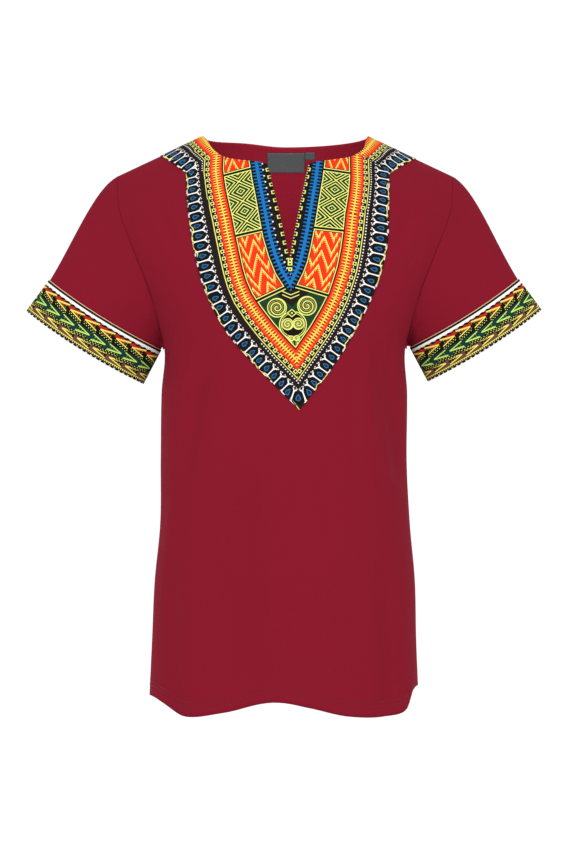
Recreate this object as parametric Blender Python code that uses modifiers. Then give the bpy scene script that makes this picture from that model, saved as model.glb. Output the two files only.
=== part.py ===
"""Pullover shirt in plain jersey with a printed neck panel and sleeve bands, filled out as worn.

The front faces -Y and +X is the right-hand side as seen from the front. The origin lies midway
between the high shoulder points, where the shoulders carry the shirt.
"""
import math
from collections import namedtuple

import bmesh
import bpy
from mathutils import Vector

# Driving sizes in metres
SHIRT = "dashiki_shirt"
JERSEY = 0.0012              # wall of the jersey pieces
PRINT_CLOTH = 0.0010         # wall of the printed pieces
LABEL_CLOTH = 0.0010
SEAM_GAP = 0.0004            # between pieces that are sewn edge to edge
LAID_GAP = 0.0003            # under a piece that lies on another
NECK_HALF = 0.0965           # centre to high shoulder point
SHOULDER_HALF = 0.195        # centre to shoulder tip
SHOULDER_DROP = 0.0455       # high shoulder point down to the tip
SHOULDER_ROUND = 0.100       # depth over which the shoulder rounds over
ARMPIT_LEVEL = -0.2435
SQUARENESS = 2.3             # 2 is an ellipse, more is boxier
SLIT_POINT = (0.0050, -0.1530)
CUFF_WIDTH = 0.0450
SLEEVE_TURN_UP = 0.0010      # the sleeve stops this far inside its band
SLIT_BEND = 1.07             # above 1 the slit's edges bow towards each other
CUFF_BOW = 0.0040            # the sleeve opening drops this much at front and back

FRONT = -1
BACK = 1

# Horizontal sections of the body: height, half widths to each side, half depths to front and back
Section = namedtuple("Section", "height left right front back")
SECTIONS = (
    Section(0.030, 0.2180, 0.2180, 0.0720, 0.0960),
    Section(0.000, 0.2170, 0.2170, 0.0740, 0.0980),
    Section(-0.047, 0.2150, 0.2150, 0.0795, 0.1040),
    Section(-0.095, 0.2080, 0.2080, 0.0960, 0.1090),
    Section(-0.145, 0.1900, 0.1900, 0.1060, 0.1110),
    Section(-0.200, 0.1590, 0.1580, 0.1120, 0.1090),
    Section(-0.245, 0.1410, 0.1405, 0.1150, 0.1060),
    Section(-0.300, 0.1440, 0.1425, 0.1165, 0.1020),
    Section(-0.377, 0.1450, 0.1420, 0.1155, 0.0990),
    Section(-0.450, 0.1455, 0.1455, 0.1140, 0.1000),
    Section(-0.518, 0.1520, 0.1515, 0.1140, 0.1030),
    Section(-0.585, 0.1550, 0.1530, 0.1150, 0.1060),
    Section(-0.660, 0.1585, 0.1560, 0.1160, 0.1090),
)

# Armhole seams as seen from the front: height, distance from the centre on the front and on the back
ArmholePoint = namedtuple("ArmholePoint", "height front back")
ARMHOLE = (
    ArmholePoint(-0.0460, 0.1950, 0.1950),
    ArmholePoint(-0.0900, 0.1900, 0.1915),
    ArmholePoint(-0.1360, 0.1730, 0.1780),
    ArmholePoint(-0.1900, 0.1525, 0.1560),
    ArmholePoint(-0.2435, 0.1410, 0.1410),
)

# Neckline of the front from the slit's top corner to the high shoulder point, on each side
NeckPoint = namedtuple("NeckPoint", "left right height")
FRONT_NECK = (
    NeckPoint(0.0198, 0.0265, -0.0422),
    NeckPoint(0.0290, 0.0340, -0.0390),
    NeckPoint(0.0547, 0.0550, -0.0358),
    NeckPoint(0.0706, 0.0755, -0.0312),
    NeckPoint(0.0824, 0.0890, -0.0213),
    NeckPoint(0.0892, 0.0930, -0.0090),
    NeckPoint(NECK_HALF, NECK_HALF, 0.0000),
)
BACK_NECK_DEPTH = 0.0020
BACK_NECK_LIFT = 0.0024      # the left half of the back neck stands this much higher midway

# Hem heights round the body, by turn from the centre in degrees, left side negative
HemPoint = namedtuple("HemPoint", "turn front back")
HEM = (
    HemPoint(-90.0, -0.6500, -0.6500),
    HemPoint(-72.0, -0.6480, -0.6520),
    HemPoint(-60.0, -0.6525, -0.6530),
    HemPoint(-45.0, -0.6635, -0.6540),
    HemPoint(-25.0, -0.6565, -0.6550),
    HemPoint(-5.0, -0.6445, -0.6550),
    HemPoint(10.0, -0.6505, -0.6550),
    HemPoint(26.0, -0.6605, -0.6550),
    HemPoint(44.0, -0.6640, -0.6540),
    HemPoint(62.0, -0.6600, -0.6500),
    HemPoint(72.0, -0.6390, -0.6450),
    HemPoint(90.0, -0.6395, -0.6395),
)

# Large folds: their upper and lower ends seen from the front, half width, and height off the cloth
Fold = namedtuple("Fold", "face top bottom half_width height")
FOLDS = (
    Fold(FRONT, (-0.088, -0.240), (-0.130, -0.450), 0.020, -0.0060),
    Fold(FRONT, (-0.112, -0.300), (-0.136, -0.520), 0.014, 0.0035),
    Fold(FRONT, (0.114, -0.230), (0.136, -0.430), 0.016, -0.0070),
    Fold(FRONT, (0.101, -0.215), (0.112, -0.370), 0.013, -0.0035),
    Fold(FRONT, (0.088, -0.250), (0.096, -0.420), 0.018, 0.0030),
    Fold(FRONT, (-0.055, -0.340), (-0.035, -0.700), 0.034, -0.0075),
    Fold(FRONT, (-0.105, -0.430), (-0.098, -0.700), 0.026, 0.0050),
    Fold(FRONT, (0.030, -0.420), (0.060, -0.700), 0.034, 0.0045),
    Fold(FRONT, (0.112, -0.470), (0.120, -0.700), 0.018, -0.0050),
    Fold(FRONT, (-0.150, -0.075), (-0.118, -0.145), 0.012, -0.0025),
    Fold(FRONT, (0.150, -0.075), (0.122, -0.140), 0.012, -0.0025),
    Fold(BACK, (-0.110, -0.150), (-0.070, -0.420), 0.022, -0.0060),
    Fold(BACK, (0.115, -0.160), (0.080, -0.400), 0.020, -0.0055),
    Fold(BACK, (-0.020, -0.260), (-0.030, -0.700), 0.036, -0.0080),
    Fold(BACK, (-0.090, -0.400), (-0.100, -0.700), 0.026, 0.0050),
    Fold(BACK, (0.050, -0.330), (0.065, -0.700), 0.030, 0.0055),
    Fold(BACK, (0.110, -0.420), (0.118, -0.700), 0.018, -0.0050),
)

FOLD_START = 0.35            # share of a fold's length over which it sinks in
FOLD_END = 0.30              # and over which it dies away
SEAM_CALM = 0.30             # turn, in radians, over which folds die away towards a side seam
SHOULDER_CALM = 0.50         # share of the shoulder's rounding over which they die away upwards

# Sleeve ends seen from the front, as distances from the centre: outer and inner corner of the opening
SleeveEnd = namedtuple("SleeveEnd", "side outer inner half_depth")
SLEEVE_ENDS = (
    SleeveEnd(-1, (0.3015, -0.2035), (0.1665, -0.2880), 0.0350),
    SleeveEnd(1, (0.2990, -0.2020), (0.1680, -0.2850), 0.0350),
)
SLEEVE_START_PULL = 0.62     # how far the sleeve runs on from the body before it turns down
SLEEVE_END_PULL = 1.03       # how far it runs straight into its band
SMOOTH_FROM = 0.25           # share up the armhole where the seam starts to run smoothly across
SMOOTH_SPAN = 0.65
CUFF_TAPER = 0.0034          # the band's upper edge is this much narrower each side

# Neck panel seen from the front: where its ends lie on the shoulder, then its edge from corner to point
NECK_PANEL_SHOULDER = (-0.1455, 0.1529)
PanelEdge = namedtuple("PanelEdge", "height left right")
NECK_PANEL_EDGE = (
    PanelEdge(-0.0500, -0.1124, 0.1190),
    PanelEdge(-0.0900, -0.1097, 0.1169),
    PanelEdge(-0.1360, -0.1028, 0.1145),
    PanelEdge(-0.1840, -0.0903, 0.1013),
    PanelEdge(-0.2320, -0.0660, 0.0778),
    PanelEdge(-0.2680, -0.0356, 0.0560),
    PanelEdge(-0.2940, -0.0103, 0.0365),
    PanelEdge(-0.3200, 0.0160, 0.0160),
)
NECK_PANEL_EDGE_STEPS = 16

# Numbers of grid steps
FRONT_STEPS = {"across": 13, "side": 22, "armhole": 17, "centre": 27, "slit": 5, "neck": 7}
BACK_STEPS = {"across": 12, "side": 15, "armhole": 17, "centre": 27, "slit": 0, "neck": 5}
EDGE_STEP = 0.025            # share of a panel in its narrow last step along a seam
BACK_ROW_CROWDING = 1.35     # above 1 the back's rows crowd towards the neck, where it curves most
SLEEVE_ROWS = 7
SAME_PLACE = 0.000001        # points nearer than this are one point
CUFF_ROWS = 3

# Labels inside the back neck: centre across, width, height, and the drop of the top edge
LABEL = {"centre": 0.0012, "width": 0.0455, "height": 0.0215, "drop": 0.0070, "steps": (6, 3)}
SIZE_TAB = {"centre": 0.0304, "width": 0.0120, "height": 0.0080, "drop": 0.0065, "steps": (2, 1)}
LABEL_GAP = 0.0008

COLOURS = {
    "jersey": (0.266, 0.013, 0.027, 1.0),
    "print": (0.090, 0.045, 0.010, 1.0),
    "label": (0.045, 0.050, 0.055, 1.0),
}


def eased(value):
    """Smooth step from 0 to 1."""
    value = min(max(value, 0.0), 1.0)
    return value * value * (3.0 - 2.0 * value)


def read_table(rows, key, column, at):
    """Value of a column at a key, on a smooth curve through the rows."""
    rows = sorted(rows, key=lambda row: getattr(row, key))
    keys = [getattr(row, key) for row in rows]
    values = [getattr(row, column) for row in rows]
    at = min(max(at, keys[0]), keys[-1])
    index = 0
    while index < len(keys) - 2 and at > keys[index + 1]:
        index += 1
    span = keys[index + 1] - keys[index]
    along = (at - keys[index]) / span

    def slope(place):
        low = max(place - 1, 0)
        high = min(place + 1, len(keys) - 1)
        return (values[high] - values[low]) / (keys[high] - keys[low])

    start = slope(index) * span
    end = slope(index + 1) * span
    return hermite(values[index], start, values[index + 1], end, along)


def seam_share(step, steps, last):
    """Share of the way at a grid step: even steps, then a narrow last one along the seam."""
    return 1.0 if step == steps else (1.0 - last) * step / (steps - 1)


def hermite(first, first_slope, last, last_slope, along):
    """Cubic between two values, or two points, with the slopes given at its ends."""
    squared = along * along
    cubed = squared * along
    return (first * (2 * cubed - 3 * squared + 1) + first_slope * (cubed - 2 * squared + along)
            + last * (3 * squared - 2 * cubed) + last_slope * (cubed - squared))


def ridge_height(x):
    """Height of the shoulder line, carried on as a low arch across the neck."""
    slope = SHOULDER_DROP / (SHOULDER_HALF - NECK_HALF)
    if abs(x) > NECK_HALF:
        return -slope * (abs(x) - NECK_HALF)
    return slope * (NECK_HALF ** 2 - x * x) / (2.0 * NECK_HALF)


def half_width(side, height):
    return read_table(SECTIONS, "height", "left" if side < 0 else "right", height)


def half_depth(face, height):
    return read_table(SECTIONS, "height", "front" if face == FRONT else "back", height)


def turn_of(x, height):
    """Turn round the section, in radians, at which the body is x from the centre."""
    side = -1 if x < 0 else 1
    return side * math.asin(min(abs(x) / half_width(side, height), 1.0))


def fold_height(face, x, height):
    """Sum of the folds that cross a point: each is a soft ridge or trough that fades at its ends."""
    total = 0.0
    for fold in FOLDS:
        if fold.face != face:
            continue
        rise = fold.bottom[1] - fold.top[1]
        along = (height - fold.top[1]) / rise
        middle = fold.top[0] + along * (fold.bottom[0] - fold.top[0])
        across = abs(x - middle) / fold.half_width
        if 0.0 < along < 1.0 and across < 1.0:
            fade = eased(along / FOLD_START) * eased((1.0 - along) / FOLD_END)
            total += fold.height * fade * math.cos(across * math.pi / 2.0) ** 2
    return total


def body_point(face, turn, height):
    """Outer surface of the front or back at a turn from the centre and a height."""
    side = -1 if turn < 0 else 1
    wide = half_width(side, height)
    deep = half_depth(face, height)
    share = min(abs(math.sin(turn)), 1.0)
    x = side * wide * share
    below = min(max((ridge_height(x) - height) / SHOULDER_ROUND, 0.0), 1.0)
    rounding = math.sqrt(1.0 - (1.0 - below) ** 2)
    bulge = (1.0 - share ** SQUARENESS) ** (1.0 / SQUARENESS)
    y = face * (SEAM_GAP / 2.0 + deep * bulge * rounding)
    fade = eased((math.pi / 2.0 - abs(turn)) / SEAM_CALM) * eased(below / SHOULDER_CALM)
    push = fold_height(face, x, height) * fade
    outward = Vector((side * share ** (SQUARENESS - 1.0) / wide, face * bulge ** (SQUARENESS - 1.0) / deep))
    outward.normalize()
    return Vector((x + push * outward.x, y + push * outward.y, height))


def armhole_place(face, side, share):
    """Turn and height on the armhole seam: share 0 is the armpit and 1 the shoulder tip."""
    top = ridge_height(SHOULDER_HALF)
    height = ARMPIT_LEVEL + (top - ARMPIT_LEVEL) * (1.0 - math.cos(math.pi * share)) / 2.0
    if share <= 0.0:
        return side * math.pi / 2.0, ARMPIT_LEVEL
    if share >= 1.0:
        return turn_of(side * SHOULDER_HALF, top), top
    x = read_table(ARMHOLE, "height", "front" if face == FRONT else "back", height)
    x = min(x, half_width(side, height) * 0.9999)
    return turn_of(side * x, min(height, ridge_height(x))), min(height, ridge_height(x))


def outer_edge(face, side, steps):
    """Side seam from hem to armpit, then the armhole to the shoulder tip."""
    places = []
    hem = hem_height(face, side * math.pi / 2.0)
    for step in range(steps["side"]):
        share = step / steps["side"]
        places.append((side * math.pi / 2.0, hem + (ARMPIT_LEVEL - hem) * share))
    for step in range(steps["armhole"] + 1):
        places.append(armhole_place(face, side, seam_share(step, steps["armhole"], EDGE_STEP)))
    return places


def inner_edge(face, side, steps):
    """Centre line from the hem, the slit's edge where there is one, then the neckline."""
    places = []
    hem = hem_height(face, 0.0)
    if face == BACK:
        for step in range(steps["centre"]):
            share = 1.0 - (1.0 - step / steps["centre"]) ** BACK_ROW_CROWDING
            places.append((0.0, hem + (-BACK_NECK_DEPTH - hem) * share))
        for step in range(steps["neck"] + 1):
            share = seam_share(step, steps["neck"], 2.0 * EDGE_STEP)
            x = NECK_HALF * share
            height = -BACK_NECK_DEPTH * (1.0 - share ** 2)
            height += BACK_NECK_LIFT * math.sin(math.pi * share) ** 2 if side < 0 else 0.0
            places.append((turn_of(side * x, height), height))
        return places
    for step in range(steps["centre"]):
        share = step / steps["centre"]
        height = hem + (SLIT_POINT[1] - hem) * share
        places.append((turn_of(SLIT_POINT[0] * share, height), height))
    corner = FRONT_NECK[0]
    corner_x = -corner.left if side < 0 else corner.right
    for step in range(steps["slit"]):
        share = step / steps["slit"]
        x = SLIT_POINT[0] + (corner_x - SLIT_POINT[0]) * share ** SLIT_BEND
        height = SLIT_POINT[1] + (corner.height - SLIT_POINT[1]) * share
        places.append((turn_of(x, height), height))
    for step in range(steps["neck"] + 1):
        x, height = neckline(side, seam_share(step, steps["neck"], 2.0 * EDGE_STEP))
        places.append((turn_of(x, height), height))
    return places


def neckline(side, share):
    """Point of the front neckline seen from the front, from the slit to the shoulder."""
    column = "left" if side < 0 else "right"
    places = [(side * getattr(point, column), point.height) for point in FRONT_NECK]
    runs = [math.dist(first, second) for first, second in zip(places, places[1:])]
    goal = share * sum(runs)
    index = 0
    while index < len(runs) - 1 and goal > runs[index]:
        goal -= runs[index]
        index += 1
    along = min(goal / runs[index], 1.0)
    before = places[max(index - 1, 0)]
    first = places[index]
    second = places[index + 1]
    after = places[min(index + 2, len(places) - 1)]
    return tuple(hermite(first[axis], (second[axis] - before[axis]) / 2.0,
                         second[axis], (after[axis] - first[axis]) / 2.0, along) for axis in (0, 1))


def hem_height(face, turn):
    return read_table(HEM, "turn", "front" if face == FRONT else "back", math.degrees(turn))


def panel_places(face, side, steps):
    """Grid of turns and heights over half a panel, rows from the hem up to the shoulder seam."""
    inner = inner_edge(face, side, steps)
    outer = outer_edge(face, side, steps)
    last = len(inner) - 1
    rows = []
    for row, (start, end) in enumerate(zip(inner, outer)):
        hem_pull = (1.0 - row / last) ** 2
        seam_pull = max((row - steps["side"]) / (last - steps["side"]), 0.0)
        places = []
        for column in range(steps["across"] + 1):
            out = seam_share(column, steps["across"], EDGE_STEP)
            hem_turn, hem_line = blend(inner[0], outer[0], out)
            top_turn, top_line = blend(inner[last], outer[last], out)
            seam_x = side * (NECK_HALF + (SHOULDER_HALF - NECK_HALF) * out)
            turn, height = blend(start, end, out)
            height += hem_pull * (hem_height(face, hem_turn) - hem_line)
            height += seam_pull * (ridge_height(seam_x) - top_line)
            turn += seam_pull * (turn_of(seam_x, ridge_height(seam_x)) - top_turn)
            places.append((turn, height))
        rows.append(places)
    return rows


def blend(first, last, share):
    return tuple(start + (end - start) * share for start, end in zip(first, last))


def new_piece(name, mesh_source, material):
    """Object from a bmesh, in the shirt's collection."""
    mesh = bpy.data.meshes.new(name)
    mesh_source.to_mesh(mesh)
    mesh_source.free()
    mesh.materials.append(material)
    mesh.shade_smooth()
    piece = bpy.data.objects.new(name, mesh)
    bpy.data.collections[SHIRT].objects.link(piece)
    return piece


def face_out(source, middle):
    """Turn an open surface so that its faces point away from its middle line."""
    bmesh.ops.recalc_face_normals(source, faces=source.faces)
    agree = sum(face.normal.dot(face.calc_center_median() - middle(face.calc_center_median()))
                for face in source.faces)
    if agree < 0.0:
        bmesh.ops.reverse_faces(source, faces=source.faces)
    source.normal_update()


def add_wall(piece, thickness, offset):
    wall = piece.modifiers.new("wall", "SOLIDIFY")
    wall.thickness = thickness
    wall.offset = offset
    wall.use_even_offset = False


def add_grid(source, rows, closed=False):
    """Faces through rows of points, joined round when they make a tube."""
    lines = [[source.verts.new(point) for point in row] for row in rows]
    for lower, upper in zip(lines, lines[1:]):
        count = len(lower)
        for index in range(count if closed else count - 1):
            after = (index + 1) % count
            source.faces.new((lower[index], lower[after], upper[after], upper[index]))


def surface(grids, middle, closed=False):
    """Open surface of one or more grids, in triangles that face away from a middle line."""
    source = bmesh.new()
    for rows in grids:
        add_grid(source, rows, closed)
    bmesh.ops.remove_doubles(source, verts=source.verts, dist=SAME_PLACE)
    bmesh.ops.triangulate(source, faces=source.faces, quad_method="FIXED")
    face_out(source, middle)
    return source


def body_middle(point):
    return Vector((0.0, 0.0, point.z - 0.02))


def panel_surface(face, steps):
    """Front or back: two half grids, joined along the centre line below the neck or the slit."""
    halves = [[[body_point(face, *place) for place in row] for row in panel_places(face, side, steps)]
              for side in (-1, 1)]
    return surface(halves, body_middle)


def armhole_ring(side):
    """Seam points round one armhole, from the armpit over the front to the tip and back under.

    Each comes with the direction in which the body's surface runs out across the seam.
    """
    ring = []
    step_aside = side * 0.0004
    step_down = 0.0002
    tip_normal = Vector((side * SHOULDER_DROP, 0.0, SHOULDER_HALF - NECK_HALF)).normalized()
    for face in (FRONT, BACK):
        count = FRONT_STEPS["armhole"]
        shares = [seam_share(step, count, EDGE_STEP) for step in range(count + 1)]
        if face == BACK:
            shares = shares[::-1][1:-1]
        for share in shares:
            turn, height = armhole_place(face, side, share)
            point = body_point(face, turn, height)
            near = body_point(face, turn - step_aside, height - step_down)
            across = body_point(face, turn - 2.0 * step_aside, height - step_down) - near
            rise = body_point(face, turn - step_aside, height - 2.0 * step_down) - near
            normal = across.cross(rise).normalized()
            if normal.dot(Vector((point.x, point.y, 0.0))) < 0.0:
                normal.negate()
            if share in (0.0, 1.0):
                point.y = 0.0
                normal = tip_normal if share else Vector((side, 0.0, 0.0))
            ring.append((point, normal, share))
    directions = []
    total = len(ring)
    for index, (point, normal, share) in enumerate(ring):
        tangent = (ring[(index + 1) % total][0] - ring[index - 1][0]).normalized()
        outward = tangent.cross(normal).normalized()
        away = Vector((side, 0.0, 0.6)) if share < 0.2 else Vector((side, 0.0, 0.0))
        if outward.dot(away) < 0.0:
            outward.negate()
        directions.append((point, normal, outward, share))
    return directions


def sleeve_frame(end):
    """Centre of the sleeve opening, the way along the sleeve, and the way across it towards the body."""
    outer = Vector((end.side * end.outer[0], 0.0, end.outer[1]))
    inner = Vector((end.side * end.inner[0], 0.0, end.inner[1]))
    across = (inner - outer).normalized()
    along = Vector((end.side * abs(across.z), 0.0, -abs(across.x)))
    return (outer + inner) / 2.0, along, across, (inner - outer).length / 2.0


def sleeve_ring(end, back_from_end, share_round):
    """Point of the sleeve a distance in from its end: share 0 is under the arm, 0.5 the top."""
    centre, along, across, half = sleeve_frame(end)
    half -= CUFF_TAPER * back_from_end / CUFF_WIDTH
    angle = 2.0 * math.pi * share_round
    bow = CUFF_BOW * math.sin(angle) ** 2
    return (centre + across * (half * math.cos(angle)) + along * (bow - back_from_end)
            + Vector((0.0, -end.half_depth * math.sin(angle), 0.0)))


def ring_shares(end, points):
    """Even shares round the sleeve's ellipse, matched in length to the seam points."""
    fine = 360
    lengths = [0.0]
    for index in range(fine):
        step = sleeve_ring(end, CUFF_WIDTH, (index + 1) / fine) - sleeve_ring(end, CUFF_WIDTH, index / fine)
        lengths.append(lengths[-1] + step.length)
    runs = [0.0]
    for index, point in enumerate(points):
        runs.append(runs[-1] + (points[(index + 1) % len(points)] - point).length)
    shares = []
    for run in runs[:-1]:
        goal = run / runs[-1] * lengths[-1]
        index = 0
        while index < fine - 1 and lengths[index + 1] < goal:
            index += 1
        shares.append((index + (goal - lengths[index]) / (lengths[index + 1] - lengths[index])) / fine)
    return shares


def sleeve_rows(end):
    """Rows of the sleeve from the armhole to its end; the last rows lie under the band."""
    seam = armhole_ring(end.side)
    along = sleeve_frame(end)[1]
    shares = ring_shares(end, [point for point, _, _, _ in seam])
    rows = [[] for _ in range(SLEEVE_ROWS + CUFF_ROWS + 1)]
    for (point, normal, outward, height_share), share in zip(seam, shares):
        smooth = eased((height_share - SMOOTH_FROM) / SMOOTH_SPAN)
        lead = (outward * smooth + along * (1.0 - smooth)).normalized()
        start = point + (outward * smooth + normal * (1.0 - smooth)).normalized() * SEAM_GAP
        goal = sleeve_ring(end, CUFF_WIDTH, share)
        chord = (goal - start).length
        for row in range(SLEEVE_ROWS):
            down = row / SLEEVE_ROWS
            down += smooth * (1.0 - seam_share(SLEEVE_ROWS - row, SLEEVE_ROWS, EDGE_STEP) - down)
            rows[row].append(hermite(start, lead * SLEEVE_START_PULL * chord,
                                     goal, along * SLEEVE_END_PULL * chord, down))
        for row in range(CUFF_ROWS + 1):
            left = CUFF_WIDTH + (SLEEVE_TURN_UP - CUFF_WIDTH) * row / CUFF_ROWS
            rows[SLEEVE_ROWS + row].append(sleeve_ring(end, left, share))
    return rows


def sleeve_middle(end):
    """Nearest point of the sleeve's middle line, for telling its outside."""
    centre, along, _, _ = sleeve_frame(end)
    return lambda point: centre + along * (point - centre).dot(along)


def band_rows(end):
    shares = ring_shares(end, [point for point, _, _, _ in armhole_ring(end.side)])
    return [[sleeve_ring(end, CUFF_WIDTH * (1.0 - row / CUFF_ROWS), share) for share in shares]
            for row in range(CUFF_ROWS + 1)]


def make_sleeve(end, jersey, printed):
    """Sleeve, and the band laid over its end from the same points."""
    side_name = "left" if end.side < 0 else "right"
    sleeve = new_piece("sleeve_" + side_name, surface([sleeve_rows(end)], sleeve_middle(end), True), jersey)
    add_wall(sleeve, JERSEY, -1.0)
    band = surface([band_rows(end)], sleeve_middle(end), True)
    move_out(band, LAID_GAP)
    cuff = new_piece("cuff_" + side_name, band, printed)
    add_wall(cuff, PRINT_CLOTH, 1.0)


def move_out(source, distance):
    """Shift each point along its normal."""
    source.normal_update()
    shifts = [(vert, vert.normal.copy()) for vert in source.verts]
    for vert, normal in shifts:
        vert.co += normal * distance


def neck_panel_outline():
    """Outline seen from the front, from above one shoulder round the point to above the other."""
    above = 0.04
    heights = [NECK_PANEL_EDGE[0].height + (NECK_PANEL_EDGE[-1].height - NECK_PANEL_EDGE[0].height)
               * step / NECK_PANEL_EDGE_STEPS for step in range(NECK_PANEL_EDGE_STEPS + 1)]
    left = [(read_table(NECK_PANEL_EDGE, "height", "left", height), height) for height in heights]
    right = [(read_table(NECK_PANEL_EDGE, "height", "right", height), height) for height in heights]
    ends = [(x, ridge_height(x)) for x in NECK_PANEL_SHOULDER]
    tops = [(x, above) for x in NECK_PANEL_SHOULDER]
    return [tops[0], ends[0]] + left + right[-2::-1] + [ends[1], tops[1]]


def outline_cutter(points):
    """Prism through an outline seen from the front, for trimming the neck panel."""
    before_front = -0.30
    behind_ridge = 0.02
    source = bmesh.new()
    near = [source.verts.new((x, before_front, z)) for x, z in points]
    front = source.faces.new(near)
    grown = bmesh.ops.extrude_face_region(source, geom=[front])
    far = [item for item in grown["geom"] if isinstance(item, bmesh.types.BMVert)]
    bmesh.ops.translate(source, vec=(0.0, behind_ridge - before_front, 0.0), verts=far)
    bmesh.ops.recalc_face_normals(source, faces=source.faces)
    mesh = bpy.data.meshes.new("neck_panel_outline")
    source.to_mesh(mesh)
    source.free()
    cutter = bpy.data.objects.new("neck_panel_outline", mesh)
    bpy.data.collections["cutters"].objects.link(cutter)
    cutter.hide_render = True
    cutter.display_type = "WIRE"
    return cutter


def make_neck_panel(printed):
    """The front's own points near the neck, moved out and trimmed to the panel's outline."""
    source = panel_surface(FRONT, FRONT_STEPS)
    move_out(source, LAID_GAP)
    margin = 0.030
    reach = NECK_PANEL_EDGE[-1].height - margin
    spare = [face for face in source.faces if max(vert.co.z for vert in face.verts) < reach]
    bmesh.ops.delete(source, geom=spare, context="FACES")
    panel = new_piece("neck_panel", source, printed)
    add_wall(panel, PRINT_CLOTH, 1.0)
    trim = panel.modifiers.new("outline", "BOOLEAN")
    trim.operation = "INTERSECT"
    trim.solver = "EXACT"
    trim.object = outline_cutter(neck_panel_outline())


def make_label(name, sizes, material):
    """Small woven piece that hangs on the inside of the back, just under the neck seam."""
    across, down = sizes["steps"]
    rows = []
    for row in range(down + 1):
        height = -sizes["drop"] - sizes["height"] * row / down
        points = []
        for column in range(across + 1):
            x = sizes["centre"] + sizes["width"] * (column / across - 0.5)
            points.append(body_point(BACK, turn_of(x, height), height))
        rows.append(points)
    source = surface([rows], body_middle)
    move_out(source, -(JERSEY + LABEL_GAP))
    piece = new_piece(name, source, material)
    add_wall(piece, LABEL_CLOTH, -1.0)


def cloth_material(name, roughness):
    material = bpy.data.materials.new(name)
    material.use_nodes = True
    shader = material.node_tree.nodes["Principled BSDF"]
    shader.inputs["Base Color"].default_value = COLOURS[name]
    shader.inputs["Roughness"].default_value = roughness
    shader.inputs["Metallic"].default_value = 0.0
    material.diffuse_color = COLOURS[name]
    return material


def build():
    for leftover in list(bpy.data.objects):
        bpy.data.objects.remove(leftover, do_unlink=True)
    for name in (SHIRT, "cutters"):
        bpy.context.scene.collection.children.link(bpy.data.collections.new(name))
    jersey = cloth_material("jersey", 0.85)
    printed = cloth_material("print", 0.80)
    woven = cloth_material("label", 0.70)
    for name, face, steps in (("front", FRONT, FRONT_STEPS), ("back", BACK, BACK_STEPS)):
        panel = new_piece(name, panel_surface(face, steps), jersey)
        add_wall(panel, JERSEY, -1.0)
    for end in SLEEVE_ENDS:
        make_sleeve(end, jersey, printed)
    make_neck_panel(printed)
    make_label("label", LABEL, woven)
    make_label("size_tab", SIZE_TAB, woven)


build()
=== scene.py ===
import math

import bmesh
import bpy
import numpy as np
from mathutils import Matrix, Vector


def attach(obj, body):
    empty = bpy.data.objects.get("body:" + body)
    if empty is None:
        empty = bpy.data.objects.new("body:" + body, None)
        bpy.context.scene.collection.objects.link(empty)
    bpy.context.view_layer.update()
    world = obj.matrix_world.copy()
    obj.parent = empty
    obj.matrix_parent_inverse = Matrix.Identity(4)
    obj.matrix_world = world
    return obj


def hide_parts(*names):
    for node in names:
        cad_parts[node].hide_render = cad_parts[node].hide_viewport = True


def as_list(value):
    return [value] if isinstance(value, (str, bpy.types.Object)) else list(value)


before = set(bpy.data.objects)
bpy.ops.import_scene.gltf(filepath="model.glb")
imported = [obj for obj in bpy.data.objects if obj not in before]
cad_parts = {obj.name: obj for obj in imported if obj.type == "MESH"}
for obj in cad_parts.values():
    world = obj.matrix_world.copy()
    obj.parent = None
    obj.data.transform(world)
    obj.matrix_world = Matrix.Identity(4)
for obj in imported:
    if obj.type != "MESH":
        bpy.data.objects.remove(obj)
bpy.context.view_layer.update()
print("frame loaded")

front, back = -1, 1
sideOf = {"left": -1, "right": 1}


def metres(rows):
    # rows of lengths in millimetres, as metres
    return [tuple(value / 1000.0 for value in row) for row in rows]


# the cut of the shirt, in metres, as its solids have it; laidGap is under a piece that lies on another
shirt = {
    "seamGap": 0.0004, "laidGap": 0.0003, "armpit": -0.2435, "squareness": 2.3,
    "neckHalf": 0.0965, "shoulderHalf": 0.195, "shoulderDrop": 0.0455, "shoulderRound": 0.100,
    "slitPoint": (0.0050, -0.1530), "slitBend": 1.07,
    "foldStart": 0.35, "foldEnd": 0.30, "seamCalm": 0.30, "shoulderCalm": 0.50,
    "backNeckDepth": 0.0020, "backNeckLift": 0.0024, "edgeStep": 0.010, "backRowCrowding": 1.35,
}
mapGirth = 0.155            # cloth to a radian round the body, for its map
mergeReach = 0.000002
# height, half width left and right, half depth front and back
sections = sorted(metres((
    (30, 218, 218, 72, 96), (0, 217, 217, 74, 98), (-47, 215, 215, 79.5, 104), (-95, 208, 208, 96, 109),
    (-145, 190, 190, 106, 111), (-200, 159, 158, 112, 109), (-245, 141, 140.5, 115, 106),
    (-300, 144, 142.5, 116.5, 102), (-377, 145, 142, 115.5, 99), (-450, 145.5, 145.5, 114, 100),
    (-518, 152, 151.5, 114, 103), (-585, 155, 153, 115, 106), (-660, 158.5, 156, 116, 109),
)))
# height, distance from the centre on the front and on the back
armhole = sorted(metres((
    (-46, 195, 195), (-90, 190, 191.5), (-136, 173, 178), (-190, 152.5, 156), (-243.5, 141, 141),
)))
# left, right, height from the slit's top corner to the high shoulder point
frontNeck = metres((
    (19.8, 26.5, -42.2), (29, 34, -39), (54.7, 55, -35.8), (70.6, 75.5, -31.2), (82.4, 89, -21.3),
    (89.2, 93, -9), (96.5, 96.5, 0),
))
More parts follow.
